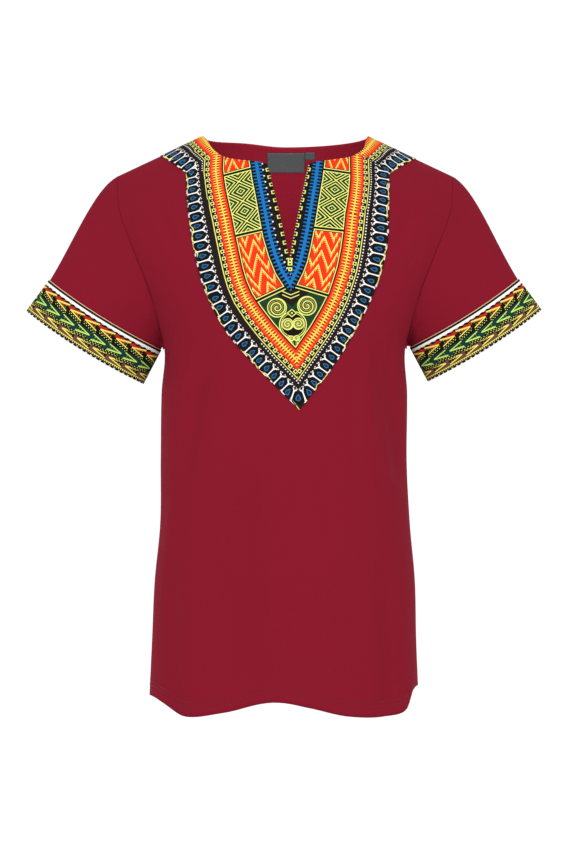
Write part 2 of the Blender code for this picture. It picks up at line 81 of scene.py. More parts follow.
# turn in degrees, hem height front and back in millimetres
hem = [(turn, high / 1000.0, other / 1000.0) for turn, high, other in (
    (-90, -650, -650), (-72, -648, -652), (-60, -652.5, -653), (-45, -663.5, -654), (-25, -656.5, -655),
    (-5, -644.5, -655), (10, -650.5, -655), (26, -660.5, -655), (44, -664, -654), (62, -660, -650),
    (72, -639, -645), (90, -639.5, -639.5),
)]
# upper end, lower end, half width, height off the cloth; the finer creases come last, solids leave them out
folds = {
    front: metres((
        (-88, -240, -130, -450, 20, -6), (-112, -300, -136, -520, 14, 3.5), (114, -230, 136, -430, 16, -7),
        (101, -215, 112, -370, 13, -3.5), (88, -250, 96, -420, 18, 3), (-55, -340, -35, -700, 34, -7.5),
        (-105, -430, -98, -700, 26, 5), (30, -420, 60, -700, 34, 4.5), (112, -470, 120, -700, 18, -5),
        (-150, -75, -118, -145, 12, -2.5), (150, -75, 122, -140, 12, -2.5),
        (-160, -80, -120, -170, 9, 1.2), (164, -85, 128, -165, 9, 1.2), (-128, -225, -118, -330, 9, 1.4),
        (131, -225, 125, -300, 8, 1.5), (-40, -330, -75, -520, 22, 1.2), (55, -320, 40, -560, 24, -1.2),
        (90, -480, 82, -690, 14, 1.3), (-128, -480, -122, -690, 12, -1.4), (0, -520, 10, -690, 18, -1.1),
    )),
    back: metres((
        (-110, -150, -70, -420, 22, -6), (115, -160, 80, -400, 20, -5.5), (-20, -260, -30, -700, 36, -8),
        (-90, -400, -100, -700, 26, 5), (50, -330, 65, -700, 30, 5.5), (110, -420, 118, -700, 18, -5),
        (-60, -40, -50, -160, 20, -1), (70, -50, 56, -170, 20, -1), (-155, -90, -110, -190, 10, 1.4),
        (158, -90, 112, -200, 10, 1.4), (-128, -230, -116, -360, 10, -1.6),
        (126, -230, 120, -340, 10, -1.4), (10, -180, 20, -430, 28, 1.4), (-60, -420, -70, -690, 18, -1.4),
        (88, -400, 92, -690, 14, 1.3),
    )),
}
# side, outer and inner corner of the opening, half depth
sleeveEnds = {
    "left": (-1, (0.3015, -0.2035), (0.1665, -0.2880), 0.0350),
    "right": (1, (0.2990, -0.2020), (0.1680, -0.2850), 0.0350),
}
sleeveCut = {
    "bandWidth": 0.0450, "turnUp": 0.0010, "bow": 0.0040, "taper": 0.0034,
    "startPull": 0.62, "endPull": 1.03, "smoothFrom": 0.25, "smoothSpan": 0.65,
}
armholeSteps = 51


def eased(value):
    value = min(max(value, 0.0), 1.0)
    return value * value * (3.0 - 2.0 * value)


def hermite(first, firstSlope, last, lastSlope, along):
    squared = along * along
    cubed = squared * along
    return (first * (2 * cubed - 3 * squared + 1) + firstSlope * (cubed - 2 * squared + along)
            + last * (3 * squared - 2 * cubed) + lastSlope * (cubed - squared))


def readTable(rows, column, at):
    # smooth curve through a column of rows that are sorted by their first value
    at = min(max(at, rows[0][0]), rows[-1][0])
    index = 0
    while index < len(rows) - 2 and at > rows[index + 1][0]:
        index += 1
    span = rows[index + 1][0] - rows[index][0]

    def slope(place):
        low = rows[max(place - 1, 0)]
        high = rows[min(place + 1, len(rows) - 1)]
        return (high[column] - low[column]) / (high[0] - low[0]) * span

    return hermite(rows[index][column], slope(index), rows[index + 1][column], slope(index + 1),
                   (at - rows[index][0]) / span)


def seamShare(step, steps, last):
    return 1.0 if step == steps else (1.0 - last) * step / (steps - 1)


def ridgeHeight(x):
    slope = shirt["shoulderDrop"] / (shirt["shoulderHalf"] - shirt["neckHalf"])
    if abs(x) > shirt["neckHalf"]:
        return -slope * (abs(x) - shirt["neckHalf"])
    return slope * (shirt["neckHalf"] ** 2 - x * x) / (2.0 * shirt["neckHalf"])


def halfWidth(side, height):
    return readTable(sections, 1 if side < 0 else 2, height)


def turnOf(x, height):
    side = -1 if x < 0 else 1
    return side * math.asin(min(abs(x) / halfWidth(side, height), 1.0))


def foldHeight(face, x, height):
    total = 0.0
    for topX, top, bottomX, bottom, halfWide, high in folds[face]:
        along = (height - top) / (bottom - top)
        across = abs(x - topX - along * (bottomX - topX)) / halfWide
        if 0.0 < along < 1.0 and across < 1.0:
            fade = eased(along / shirt["foldStart"]) * eased((1.0 - along) / shirt["foldEnd"])
            total += high * fade * math.cos(across * math.pi / 2.0) ** 2
    return total


def bodyPoint(face, turn, height, inward=0.0):
    # outer surface of the front or back; inward lies that far inside it
    side = -1 if turn < 0 else 1
    wide = halfWidth(side, height)
    deep = readTable(sections, 3 if face == front else 4, height)
    square = shirt["squareness"]
    share = min(abs(math.sin(turn)), 1.0)
    x = side * wide * share
    below = min(max((ridgeHeight(x) - height) / shirt["shoulderRound"], 0.0), 1.0)
    rounding = math.sqrt(1.0 - (1.0 - below) ** 2)
    bulge = (1.0 - share ** square) ** (1.0 / square)
    y = face * (shirt["seamGap"] / 2.0 + deep * bulge * rounding)
    fade = eased((math.pi / 2.0 - abs(turn)) / shirt["seamCalm"]) * eased(below / shirt["shoulderCalm"])
    push = foldHeight(face, x, height) * fade - inward
    power = square - 1.0
    outward = Vector((side * share ** power / wide, face * bulge ** power / deep)).normalized()
    return Vector((x + push * outward.x, y + push * outward.y, height))


def clothPoint(face, x, height):
    return bodyPoint(face, turnOf(x, height), height)


def armholePlace(face, side, share):
    top = ridgeHeight(shirt["shoulderHalf"])
    if share <= 0.0:
        return side * math.pi / 2.0, shirt["armpit"]
    if share >= 1.0:
        return turnOf(side * shirt["shoulderHalf"], top), top
    height = shirt["armpit"] + (top - shirt["armpit"]) * (1.0 - math.cos(math.pi * share)) / 2.0
    x = min(readTable(armhole, 1 if face == front else 2, height), halfWidth(side, height) * 0.9999)
    height = min(height, ridgeHeight(x))
    return turnOf(side * x, height), height


def hemHeight(face, turn):
    return readTable(hem, 1 if face == front else 2, math.degrees(turn))


def alongLine(points, share):
    # point a share of the way along a line of points, smoothed through them
    runs = [math.dist(first, second) for first, second in zip(points, points[1:])]
    goal = share * sum(runs)
    index = 0
    while index < len(runs) - 1 and goal > runs[index]:
        goal -= runs[index]
        index += 1
    along = min(goal / runs[index], 1.0)
    before = points[max(index - 1, 0)]
    after = points[min(index + 2, len(points) - 1)]
    return tuple(hermite(points[index][axis], (points[index + 1][axis] - before[axis]) / 2.0,
                         points[index + 1][axis], (after[axis] - points[index][axis]) / 2.0, along)
                 for axis in (0, 1))


def neckline(side, share):
    return alongLine([(side * row[0 if side < 0 else 1], row[2]) for row in frontNeck], share)


def slitEdge(side, share):
    # side edge of the slit, from its point up to its top corner
    cornerX, cornerHeight = neckline(side, 0.0)
    pointX, pointHeight = shirt["slitPoint"]
    return (pointX + (cornerX - pointX) * share ** shirt["slitBend"],
            pointHeight + (cornerHeight - pointHeight) * share)


def outerEdge(face, side, steps):
    bottom = hemHeight(face, side * math.pi / 2.0)
    return [(side * math.pi / 2.0, bottom + (shirt["armpit"] - bottom) * step / steps["side"])
            for step in range(steps["side"])] \
        + [armholePlace(face, side, seamShare(step, steps["armhole"], shirt["edgeStep"]))
           for step in range(steps["armhole"] + 1)]


def innerEdge(face, side, steps):
    bottom = hemHeight(face, 0.0)
    shares = [seamShare(step, steps["neck"], 2.0 * shirt["edgeStep"]) for step in range(steps["neck"] + 1)]
    spots = []
    if face == back:
        for step in range(steps["centre"]):
            share = 1.0 - (1.0 - step / steps["centre"]) ** shirt["backRowCrowding"]
            spots.append((0.0, bottom + (-shirt["backNeckDepth"] - bottom) * share))
        lift = shirt["backNeckLift"] if side < 0 else 0.0
        spots += [(side * shirt["neckHalf"] * share,
                   lift * math.sin(math.pi * share) ** 2 - shirt["backNeckDepth"] * (1.0 - share ** 2))
                  for share in shares]
    else:
        spots += [blend((0.0, bottom), shirt["slitPoint"], step / steps["centre"])
                  for step in range(steps["centre"])]
        spots += [slitEdge(side, step / steps["slit"]) for step in range(steps["slit"])]
        spots += [neckline(side, share) for share in shares]
    return [(turnOf(x, height), height) for x, height in spots]


def blend(first, last, share):
    return tuple(start + (end - start) * share for start, end in zip(first, last))


def panelPlaces(face, side, steps):
    # turns and heights over half a panel, rows from the hem up to the shoulder seam
    inner = innerEdge(face, side, steps)
    outer = outerEdge(face, side, steps)
    last = len(inner) - 1
    rows = []
    for row, (start, end) in enumerate(zip(inner, outer)):
        hemPull = (1.0 - row / last) ** 2
        seamPull = max((row - steps["side"]) / (last - steps["side"]), 0.0)
        places = []
        for column in range(steps["across"] + 1):
            out = seamShare(column, steps["across"], shirt["edgeStep"])
            hemTurn, hemLine = blend(inner[0], outer[0], out)
            topTurn, topLine = blend(inner[last], outer[last], out)
            seamX = side * (shirt["neckHalf"] + (shirt["shoulderHalf"] - shirt["neckHalf"]) * out)
            turn, height = blend(start, end, out)
            height += hemPull * (hemHeight(face, hemTurn) - hemLine)
            height += seamPull * (ridgeHeight(seamX) - topLine)
            turn += seamPull * (turnOf(seamX, ridgeHeight(seamX)) - topTurn)
            places.append((turn, height))
        rows.append(places)
    return rows


def layGrid(bm, columns, rows, place, labels=None):
    # a bmesh grid of that many cells whose corners go to place(column, row); labels give its maps
    made = bmesh.ops.create_grid(bm, x_segments=columns, y_segments=rows, size=0.5)
    index = {}
    for vert in made["verts"]:
        column = round((vert.co.x + 0.5) * columns)
        row = round((vert.co.y + 0.5) * rows)
        index[vert] = (column, row)
        vert.co = place(column, row)
    faces = {face for vert in made["verts"] for face in vert.link_faces}
    for name, label in (labels or {}).items():
        layer = bm.loops.layers.uv.get(name) or bm.loops.layers.uv.new(name)
        for face in faces:
            for loop in face.loops:
                loop[layer].uv = label(*index[loop.vert])
    return made["verts"]


def closeSheet(bm, middle):
    # merge the grids of a sheet and point its faces away from its middle line
    bmesh.ops.remove_doubles(bm, verts=bm.verts, dist=mergeReach)
    bmesh.ops.recalc_face_normals(bm, faces=bm.faces)
    agree = sum(face.normal.dot(face.calc_center_median() - middle(face.calc_center_median()))
                for face in bm.faces)
    if agree < 0.0:
        bmesh.ops.reverse_faces(bm, faces=bm.faces)
    bm.normal_update()


def addObject(name, data):
    made = bpy.data.objects.new(name, data)
    bpy.context.scene.collection.objects.link(made)
    return made


def meshObject(name, bm, material):
    mesh = bpy.data.meshes.new(name)
    bm.to_mesh(mesh)
    bm.free()
    mesh.materials.append(material)
    mesh.shade_smooth()
    return addObject(name, mesh)


def addPiece(name, bm, material, wall=None, offset=-1.0):
    piece = meshObject(name, bm, material)
    if wall:
        solid = piece.modifiers.new("wall", "SOLIDIFY")
        solid.thickness = wall
        solid.offset = offset
        solid.use_even_offset = False
    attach(piece, "root")
    return piece


def addCloth(node, bm, middle, material, wall, offset=-1.0, out=0.0):
    # close a sheet, move it out and let it replace its CAD node
    closeSheet(bm, middle)
    for vert, normal in [(vert, vert.normal.copy()) for vert in bm.verts] if out else ():
        vert.co += normal * out
    piece = addPiece(node + "_cloth", bm, material, wall, offset)
    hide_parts(node)
    return piece


def bodyMiddle(point):
    return Vector((0.0, 0.0, point.z - 0.02))


def newNode(tree, kind, values, **settings):
    # shader node with its settings, and its inputs set or linked by name or number
    node = tree.nodes.new("ShaderNode" + kind)
    for key, value in settings.items():
        setattr(node, key, value)
    return feed(tree, node, values)


def feed(tree, node, values):
    for key, value in values.items():
        value = value.socket if isinstance(value, Wire) else value
        if isinstance(value, bpy.types.NodeSocket):
            tree.links.new(value, node.inputs[key])
        else:
            node.inputs[key].default_value = (*value[:3], 1.0) if isinstance(value, tuple) else value
    return node


class Wire:
    # a number that varies over the surface, so that patterns can be written as sums

    def __init__(self, tree, socket):
        self.tree = tree
        self.socket = socket

    def make(self, operation, *values, clamp=False):
        node = newNode(self.tree, "Math", dict(enumerate(values)), operation=operation, use_clamp=clamp)
        return Wire(self.tree, node.outputs[0])

    def turned(self, operation):
        return self.make(operation, self)

    def __abs__(self):
        return self.turned("ABSOLUTE")

    def sine(self):
        return self.turned("SINE")

    def part(self):
        # what is left above the whole number below
        return self.turned("FRACT")

    def over(self, edge, soft=0.3):
        # 1 where the number is above an edge, with a soft step
        return self.make("MULTIPLY_ADD", self, 1.0 / soft, 0.5 - edge / soft, clamp=True)

    def under(self, edge, soft=0.3):
        return self.make("MULTIPLY_ADD", self, -1.0 / soft, 0.5 + edge / soft, clamp=True)

    def within(self, low, high, soft=0.3):
        return self.over(low, soft) * self.under(high, soft)

    def repeat(self, pitch, shift=0.0):
        # distance from the middle of the nearest repeat
        return self.make("FLOORED_MODULO", self + (pitch / 2.0 - shift), pitch) - pitch / 2.0

    def reach(self, other):
        # length of the two numbers taken square to each other
        return (self * self + other * other).turned("SQRT")

    def __rsub__(self, other):
        return self.make("SUBTRACT", other, self)


# sums of a number with another one
for method, operation in (("__add__", "ADD"), ("__radd__", "ADD"), ("__sub__", "SUBTRACT"),
                          ("__mul__", "MULTIPLY"), ("__rmul__", "MULTIPLY"), ("__truediv__", "DIVIDE"),
                          ("least", "MINIMUM"), ("most", "MAXIMUM")):
    setattr(Wire, method, lambda self, other, operation=operation: self.make(operation, self, other))


def mixColour(tree, under, over, mask):
    # paint a colour over another where the mask is 1
    return newNode(tree, "Mix", {0: mask, 6: under, 7: over}, data_type="RGBA").outputs[2]


def painted(tree, colour, layers):
    # paint inks or colours over each other, each where its mask is 1
    for over, mask in layers:
        colour = mixColour(tree, colour, ink[over] if isinstance(over, str) else over, mask)
    return colour


def makeGroup(build, **inputs):
    # shared node group from a function of numbers that returns its outputs by name
    group = bpy.data.node_groups.new(build.__name__, "ShaderNodeTree")
    for name, default in inputs.items():
        socket = group.interface.new_socket(name, in_out="INPUT", socket_type="NodeSocketFloat")
        socket.default_value = default
    start = group.nodes.new("NodeGroupInput")
    results = build(*(Wire(group, start.outputs[name]) for name in inputs))
    for name in results:
        group.interface.new_socket(name, in_out="OUTPUT", socket_type="NodeSocketFloat")
    feed(group, group.nodes.new("NodeGroupOutput"), results)
    return group


def useGroup(tree, group, **values):
    node = newNode(tree, "Group", values, node_tree=group)
    return {output.name: Wire(tree, output) for output in node.outputs}


def clothMaterial(name, roughness, specular, sheen):
    material = bpy.data.materials.new(name)
    material.use_nodes = True
    tree = material.node_tree
    shader = feed(tree, tree.nodes["Principled BSDF"], {
        "Roughness": roughness, "Specular IOR Level": specular,
        "Sheen Weight": sheen, "Sheen Roughness": 0.5})
    return material, tree, shader


def axes(tree, vector, picks, scale=1000.0):
    split = newNode(tree, "SeparateXYZ", {0: vector})
    return [Wire(tree, split.outputs[index]) * scale for index in picks]


def mapLabels(tree, name, scale=1000.0):
    # the two numbers of one of a piece's maps, in millimetres
    return axes(tree, newNode(tree, "UVMap", {}, uv_map=name).outputs[0], (0, 1), scale)


def objectPlace(tree):
    return tree.nodes.new("ShaderNodeTexCoord").outputs["Object"]


def noiseOf(tree, scale, detail=2.0, rough=0.5):
    values = {"Vector": objectPlace(tree), "Scale": scale, "Detail": detail, "Roughness": rough}
    return Wire(tree, newNode(tree, "TexNoise", values).outputs["Fac"])


def bumpOf(tree, height, strength, distance):
    values = {"Strength": strength, "Distance": distance, "Height": height}
    return newNode(tree, "Bump", values).outputs["Normal"]


# two numbers in millimetres run over the cloth in each pattern below
def plainWeave(across, down, pitch):
    full, other = across * (2.0 * math.pi) / pitch, down * (2.0 * math.pi) / pitch
    warp = full.sine() * (other * 0.5).sine()
    weft = other.sine() * (full * 0.5).sine()
    return {"Height": warp.most(weft) * 0.5 + 0.5}


def jerseyKnit(across, down, wale, course):
    # v-shaped loops in upright wales
    side = abs((across / wale).part() - 0.5) * 2.0
    loops = ((down / course + side * 0.9) * (2.0 * math.pi)).sine() * 0.5 + 0.5
    return {"Height": loops * (side * math.pi).sine() + (1.0 - side) * 0.15}


weaveGroup = makeGroup(plainWeave, Across=0.0, Down=0.0, Pitch=0.5)
knitGroup = makeGroup(jerseyKnit, Across=0.0, Down=0.0, Wale=0.75, Course=0.55)

jerseySettings = {
    "colour": (0.186, 0.0078, 0.0190),
    "deep": (0.163, 0.0064, 0.0162),
    "roughness": 0.86,
    "specular": 0.02,
    "sheen": 0.05,
    "sheenTint": (0.80, 0.16, 0.22, 1.0),
}


def makeJersey():
    material, tree, shader = clothMaterial("redJersey", jerseySettings["roughness"],
                                           jerseySettings["specular"], jerseySettings["sheen"])
    across, down = mapLabels(tree, "cloth")
    knit = useGroup(tree, knitGroup, Across=across, Down=down)["Height"]
    heather = noiseOf(tree, 900.0, 2.0, 0.6)
    dyed = noiseOf(tree, 9.0, 3.0, 0.5)
    slub = noiseOf(tree, 140.0, 2.0, 0.5)
    # the colour is darker in the knit's valleys, painted shade between the loops, and varies at random with
    # the heather and dye noise
    depth = (knit * 0.35 + heather * 0.30 + dyed * 0.35).over(0.5, 0.8)
    height = knit * 0.6 + slub * 0.5 + heather * 0.3
    feed(tree, shader, {
        "Sheen Tint": jerseySettings["sheenTint"],
        "Base Color": mixColour(tree, jerseySettings["deep"], jerseySettings["colour"], depth),
        "Normal": bumpOf(tree, height, 0.25, 0.0003),
        "Roughness": slub * 0.08 + 0.82})
    return material


jersey = makeJersey()
print("jersey made")

# colours of the prints, as the cloth takes them
ink = {
    "black": (0.0035, 0.0026, 0.0020),
    "brownBlack": (0.0105, 0.0052, 0.0052),
    "white": (0.78, 0.77, 0.74),
    "yellow": (0.80, 0.68, 0.12),
    "paleYellow": (0.70, 0.68, 0.17),
    "lime": (0.66, 0.71, 0.16),
    "orangeRed": (0.72, 0.027, 0.005),
    "blue": (0.006, 0.135, 0.390),
    "lightBlue": (0.022, 0.125, 0.270),
    "deepBlue": (0.002, 0.022, 0.075),
    "darkGreen": (0.008, 0.034, 0.014),
    "paleGreen": (0.480, 0.700, 0.130),
    "teal": (0.0032, 0.031, 0.024),
    "brown": (0.110, 0.048, 0.042),
    "peach": (0.74, 0.48, 0.27),
    "gold": (0.86, 0.50, 0.055),
    "amber": (0.80, 0.30, 0.035),
    "rust": (0.240, 0.022, 0.005),
}


def finishPrint(tree, shader, colour, across, down):
    # weave, uneven ink and the cloth's own bump under a printed colour
    threads = useGroup(tree, weaveGroup, Across=across, Down=down, Pitch=0.45)["Height"]
    mottle = noiseOf(tree, 420.0, 2.0, 0.6)
    # a little white where the threads stand highest and in random spots, and black in other random spots
    paleOnThreads = (threads * 0.5 + mottle * 0.5).over(0.62, 0.5) * 0.04
    darker = (mottle * 0.5 + 0.5).under(0.70, 0.5) * 0.10
    colour = painted(tree, colour, [("white", paleOnThreads * 0.25), ("black", darker)])
    feed(tree, shader, {
        "Base Color": colour,
        "Normal": bumpOf(tree, threads * 0.5 + mottle * 0.3, 0.20, 0.0002),
        "Roughness": mottle * 0.12 + 0.74})


def dotMask(across, down, radius, soft=0.25):
    return across.reach(down).under(radius, soft)


def boxMask(across, down, halfAcross, halfDown, soft=0.25):
    return abs(across).under(halfAcross, soft) * abs(down).under(halfDown, soft)


def squareFrame(across, along, outer, hole):
    return boxMask(across, along, outer, outer) * (1.0 - boxMask(across, along, hole, hole))


def ladderBand(across, along, spine, reach, pitch, tooth):
    # a printed spine with teeth to both sides
    off = abs(across)
    near = abs((along / pitch).part() - 0.5) * pitch
    taper = tooth * 0.5 - (off - spine) * 0.05
    return {"Spine": (spine - off).over(0.0),
            "Teeth": (taper - near).over(0.0) * (reach - off).over(0.0),
            "Gaps": boxMask(off - spine - 1.35, pitch * 0.5 - near, 1.30, 0.80)}


def squaresMask(across, along, pitch, outer, hole):
    # open squares in a row, and small dots between them
    dots = dotMask(across + 0.6, along.repeat(pitch, pitch / 2.0), 0.65)
    return squareFrame(across, along.repeat(pitch), outer, hole), dots


def dropRow(along, out, pitch):
    # drops in dark ovals with white forks between; out is measured from a drop's middle
    near = abs((along / pitch + 0.5).part() - 0.5) * pitch
    flatAlong, flatOut = near / 5.20, (out - 0.8) / 7.5
    oval = (flatAlong * flatAlong).reach(flatOut * flatOut)
    arms = oval.within(1.0, 1.42, 0.08) * near.over(2.4) * out.within(-9.0, 2.0)
    feet = oval.over(1.0, 0.08) * out.within(-2.0, 7.6, 0.6)
    tips = dotMask(near - 1.9, out + 8.7, 0.75) + dotMask(near - 3.7, out + 9.6, 0.6)
    lean = (out * 0.13 + 0.95).most(0.30)
    return {"Oval": oval.under(1.0, 0.06),
            "White": arms.most(feet).most(tips),
            "Drop": (near / (lean * 2.25)).reach(out / 4.0).under(1.0, 0.12),
            "Inner": (near / (lean * 1.40)).reach((out - 0.4) / 2.7).under(1.0, 0.25)}


def zigzagRows(across, down, period, height, row, crest):
    # rows of uneven zigzags with small teeth below each line
    phase = (across / period).part()
    rest = 1.0 - crest
    line = (phase / crest).least((1.0 - phase) / rest) * height
    isSteep = (phase - crest).over(0.0, 0.02)
    drop = (down - line) / row
    slope, steepSlope = height / (period * crest), height / (period * rest)
    cosine = (1.0 - isSteep) / (slope * slope + 1.0).turned("SQRT") \
        + isSteep / (steepSlope * steepSlope + 1.0).turned("SQRT")
    far = (drop - drop.turned("FLOOR")) * row * cosine
    thick = far.under(0.95, 0.3) * far.over(0.0, 0.2)
    ticks = ((across * (1.0 - isSteep) + down * isSteep) / 1.9).part().over(0.5, 0.2)
    return {"Line": thick.most(ticks * far.within(0.0, 2.3, 0.4) * 0.85)}


def spiralMask(x, z, centreX, centreZ, radius, pitch, hand):
    # line, dots beside it and the disc of a spiral
    across, up = (x - centreX) * hand, z - centreZ
    far = across.reach(up)
    turn = up.make("ARCTAN2", up, across) / (2.0 * math.pi)
    run = far / pitch - turn
    between = (run - run.turned("FLOOR") - 0.5) * pitch
    inside = far.under(radius)
    line = (pitch * 0.5 - abs(between)).under(0.62) * inside
    beads = dotMask(between, (turn * (2.0 * math.pi) * far).repeat(1.6), 0.42) * inside
    return line, beads, inside


ladder = makeGroup(ladderBand, Across=0.0, Along=0.0, Spine=1.6, Reach=4.8, Pitch=3.6, Tooth=1.7)
drops = makeGroup(dropRow, Along=0.0, Out=0.0, Pitch=11.6)
zigzags = makeGroup(zigzagRows, Across=0.0, Down=0.0, Period=16.2, Height=18.4, Row=16.5, Crest=0.37)

# the neck print's bands, in millimetres from the yellow line and from the blue band's middle
bandInside = -22.0
blueHalf = 7.2
panelWide = 31.0
panelHigh = 72.0
# spirals of the field at the point: centre, radius, pitch, hand
spirals = (
    (-8.9, -206.5, 10.2, 4.4, 1.0), (24.4, -204.3, 10.2, 4.4, -1.0), (2.9, -224.8, 5.9, 3.2, -1.0),
    (14.9, -224.2, 5.9, 3.2, 1.0), (6.6, -240.8, 2.7, 2.7, 1.0), (13.2, -240.4, 2.7, 2.7, -1.0),
)


def outlineLayers(tree, along, out, isRight):
    # drops along the outline, dots and the yellow line, squares and the orange band
    dropAlong, dropOut = mapLabels(tree, "drops")
    made = useGroup(tree, drops, Along=dropAlong, Out=dropOut)
    wave = (dropAlong * 0.21).sine() * 1.3 + (dropAlong * 0.47).sine() * 0.7
    gaps = (dropAlong * 0.083).sine().over(-0.2, 0.3)
    nicks = (dropAlong * 0.54).sine() * (dropAlong * 0.113).sine()
    lower = along.over(-58.0) + along.under(-276.0)
    frames, dots = squaresMask(out + 3.9, along, 8.15, 2.1, 1.1)
    band = out.within(-20.5, -6.4)
    rungs = useGroup(tree, ladder, Across=out + 13.5, Along=along,
                     Spine=0.75, Reach=5.2, Pitch=3.5, Tooth=1.35)
    return [
        ("brownBlack", out.over(0.8)),
        ("black", made["Oval"]),
        ("white", made["White"] * out.over(4.6)),
        ("lightBlue", made["Drop"]),
        ("deepBlue", made["Inner"]),
        ("black", out.over(25.0)),
        ("white", out.over(24.2) * nicks.over(0.35, 0.2) * 0.9),
        ("paleYellow", abs(out - 24.4 - wave).under(0.55) * gaps),
        ("white", dotMask(out - 2.7, along.repeat(3.5), 0.75) * isRight.most(lower.least(1.0))),
        ("paleYellow", abs(out).under(0.55)),
        ("black", out.within(-6.4, -0.8)),
        ("paleYellow", frames),
        ("white", dots),
        ("orangeRed", band),
        ("rust", rungs["Gaps"] * band),
        ("amber", rungs["Teeth"] * band),
        ("yellow", rungs["Teeth"] * abs(out + 13.5).under(3.2, 1.6) * band),
        ("gold", rungs["Spine"] * band),
    ]


def fieldLayers(x, z, field):
    # own motifs in the field at the point
    around = (x - 8.8).reach(z + 225.5)
    layers = [
        ("brownBlack", field),
        ("darkGreen", (abs(x - 7.5) * 0.8 - z - 205.0).over(0.0, 0.5) * field),
        ("black", around.under(15.0) * field),
        ("lime", around.within(14.3, 15.4) * field),
        ("paleYellow", dotMask(around - 12.9, (z * 0.5).repeat(0.9), 0.4) * field),
    ]
    for centreX, centreZ, radius, pitch, hand in spirals:
        curl, pearls, disc = spiralMask(x, z, centreX, centreZ, radius, pitch, hand)
        rim = (x - centreX).reach(z - centreZ).within(radius - 0.3, radius + 0.7)
        layers += [("black", disc * field), ("lime", curl.most(rim) * field), ("paleYellow", pearls * field)]
    diamond = abs(x - 7.6) * 0.8 + abs(z + 212.4)
    aside = abs(x - 10.6)
    stem = dotMask(aside - 1.7, z.repeat(1.8), 0.5) + abs(aside - 3.2).under(0.45)
    bend = z + 194.0 - abs(x - 6.4) * 0.42
    return layers + [
        ("black", diamond.under(5.2) * field),
        ("lime", (diamond.within(3.4, 4.7) + diamond.under(1.2)) * field),
        ("lime", stem * z.under(-244.5) * field),
        ("lime", abs(abs(bend) - 1.9).under(0.5) * abs(x - 6.4).under(9.5) * field),
    ]


def slitLayers(tree, x, z, field, inner, slit, isRight):
    # blue band, dots and squares round the slit
    slitAlong, slitIn = slit
    edgeAlong, edgeIn = mapLabels(tree, "edge")
    bySlit = slitIn.over(-blueHalf) * (1.0 - field) * inner.over(0.0)
    rungs = useGroup(tree, ladder, Across=slitIn, Along=slitAlong,
                     Spine=1.75, Reach=5.7, Pitch=4.4, Tooth=1.75)
    frames, dots = squaresMask(edgeIn - 1.2, edgeAlong, 10.2, 2.3, 1.2)
    edgeLimit = edgeIn.under(5.4) * edgeAlong.over(1.0, 0.5) * bySlit
    low = z + 155.6
    below = boxMask(x - 5.6, low, 2.5, 3.6) * (1.0 - boxMask(x - 5.6, low.repeat(3.4, 1.7), 1.2, 0.8))
    small = squareFrame(x - 5.8, z + 163.4, 2.1, 0.9)
    return [
        ("black", bySlit),
        ("brownBlack", slitIn.over(7.6) * bySlit),
        ("blue", rungs["Spine"].most(rungs["Teeth"]) * bySlit),
        ("white", dotMask(slitIn - 6.4, slitAlong.repeat(8.3), 0.95) * (1.0 - isRight) * bySlit),
        ("black", edgeIn.under(4.6) * slitAlong.over(0.0, 1.0) * bySlit),
        ("lime", frames * edgeLimit),
        ("white", dots * edgeLimit * isRight),
        ("lime", below.most(small) * bySlit),
    ]


def makeNeckPrint():
    material, tree, shader = clothMaterial("neckPrint", 0.78, 0.05, 0.0)
    along, out = mapLabels(tree, "ribbon")
    slit = mapLabels(tree, "slit")
    share, level = mapLabels(tree, "middle", 1.0)
    x, z = axes(tree, objectPlace(tree), (0, 2))
    isRight = along.over(0.0, 0.01)

    # panels between the bands
    inner = bandInside - out
    toBlue = -blueHalf - slit[1]
    middle = inner.over(0.0) * toBlue.over(0.0)
    across, down = share * panelWide, level * panelHigh
    panel = middle * level.under(2.0, 0.004)
    isTop = level.under(0.0, 0.004)
    topOrZigzag = (isTop + level.over(1.0, 0.004)).least(1.0)
    lines = useGroup(tree, zigzags, Across=across - isTop * 8.0 - 3.0, Down=down + isTop * 15.5 + 3.0,
                     Crest=isTop * 0.13 + 0.37)
    zigzag = mixColour(tree, ink["orangeRed"], ink["yellow"], lines["Line"])
    rising, falling = (across - panelWide / 2.0) / 14.6, (level - 0.325) * panelHigh / 11.7
    first, second = (abs((((way + 1.0) * 0.5).part() - 0.5) * 2.0)
                     for way in (rising + falling, rising - falling))
    ring = first.most(second)
    stripes = ring.over(0.935, 0.02) + ring.within(0.625, 0.745, 0.02) + ring.within(0.26, 0.365, 0.03) \
        + ring.under(0.07, 0.03)
    ground = mixColour(tree, ink["black"], ink["darkGreen"], ring.under(0.57, 0.03))
    lozenges = mixColour(tree, ground, ink["lime"], stripes)
    field = inner.over(0.0) * toBlue.over(-3.0) * level.over(2.0, 0.004) * z.under(-187.0)

    # borders of the panels
    nearLevel = abs(level).least(abs(level - 1.0)).least(abs(level - 2.0))
    inside = inner.under(2.0) + toBlue.under(2.0) + nearLevel.under(0.046, 0.004)
    sides = inner.within(0.1, 1.1) + toBlue.within(0.1, 1.1) * level.under(2.0, 0.004) \
        + nearLevel.within(0.018, 0.033, 0.004) * middle
    breaks = nearLevel.under(0.018, 0.004)
    borders = [
        ("black", middle * breaks),
        ("black", panel * topOrZigzag * inside.least(1.0)),
        ("paleYellow", (sides * middle.most(field)).least(1.0) * (1.0 - breaks)),
    ]

    panels = [(zigzag, panel * topOrZigzag), (lozenges, middle * level.within(0.0, 1.0, 0.004))]
    layers = outlineLayers(tree, along, out, isRight) + panels + fieldLayers(x, z, field) + borders \
        + slitLayers(tree, x, z, field, inner, slit, isRight)
    finishPrint(tree, shader, painted(tree, ink["black"], layers), along, out)
    return material


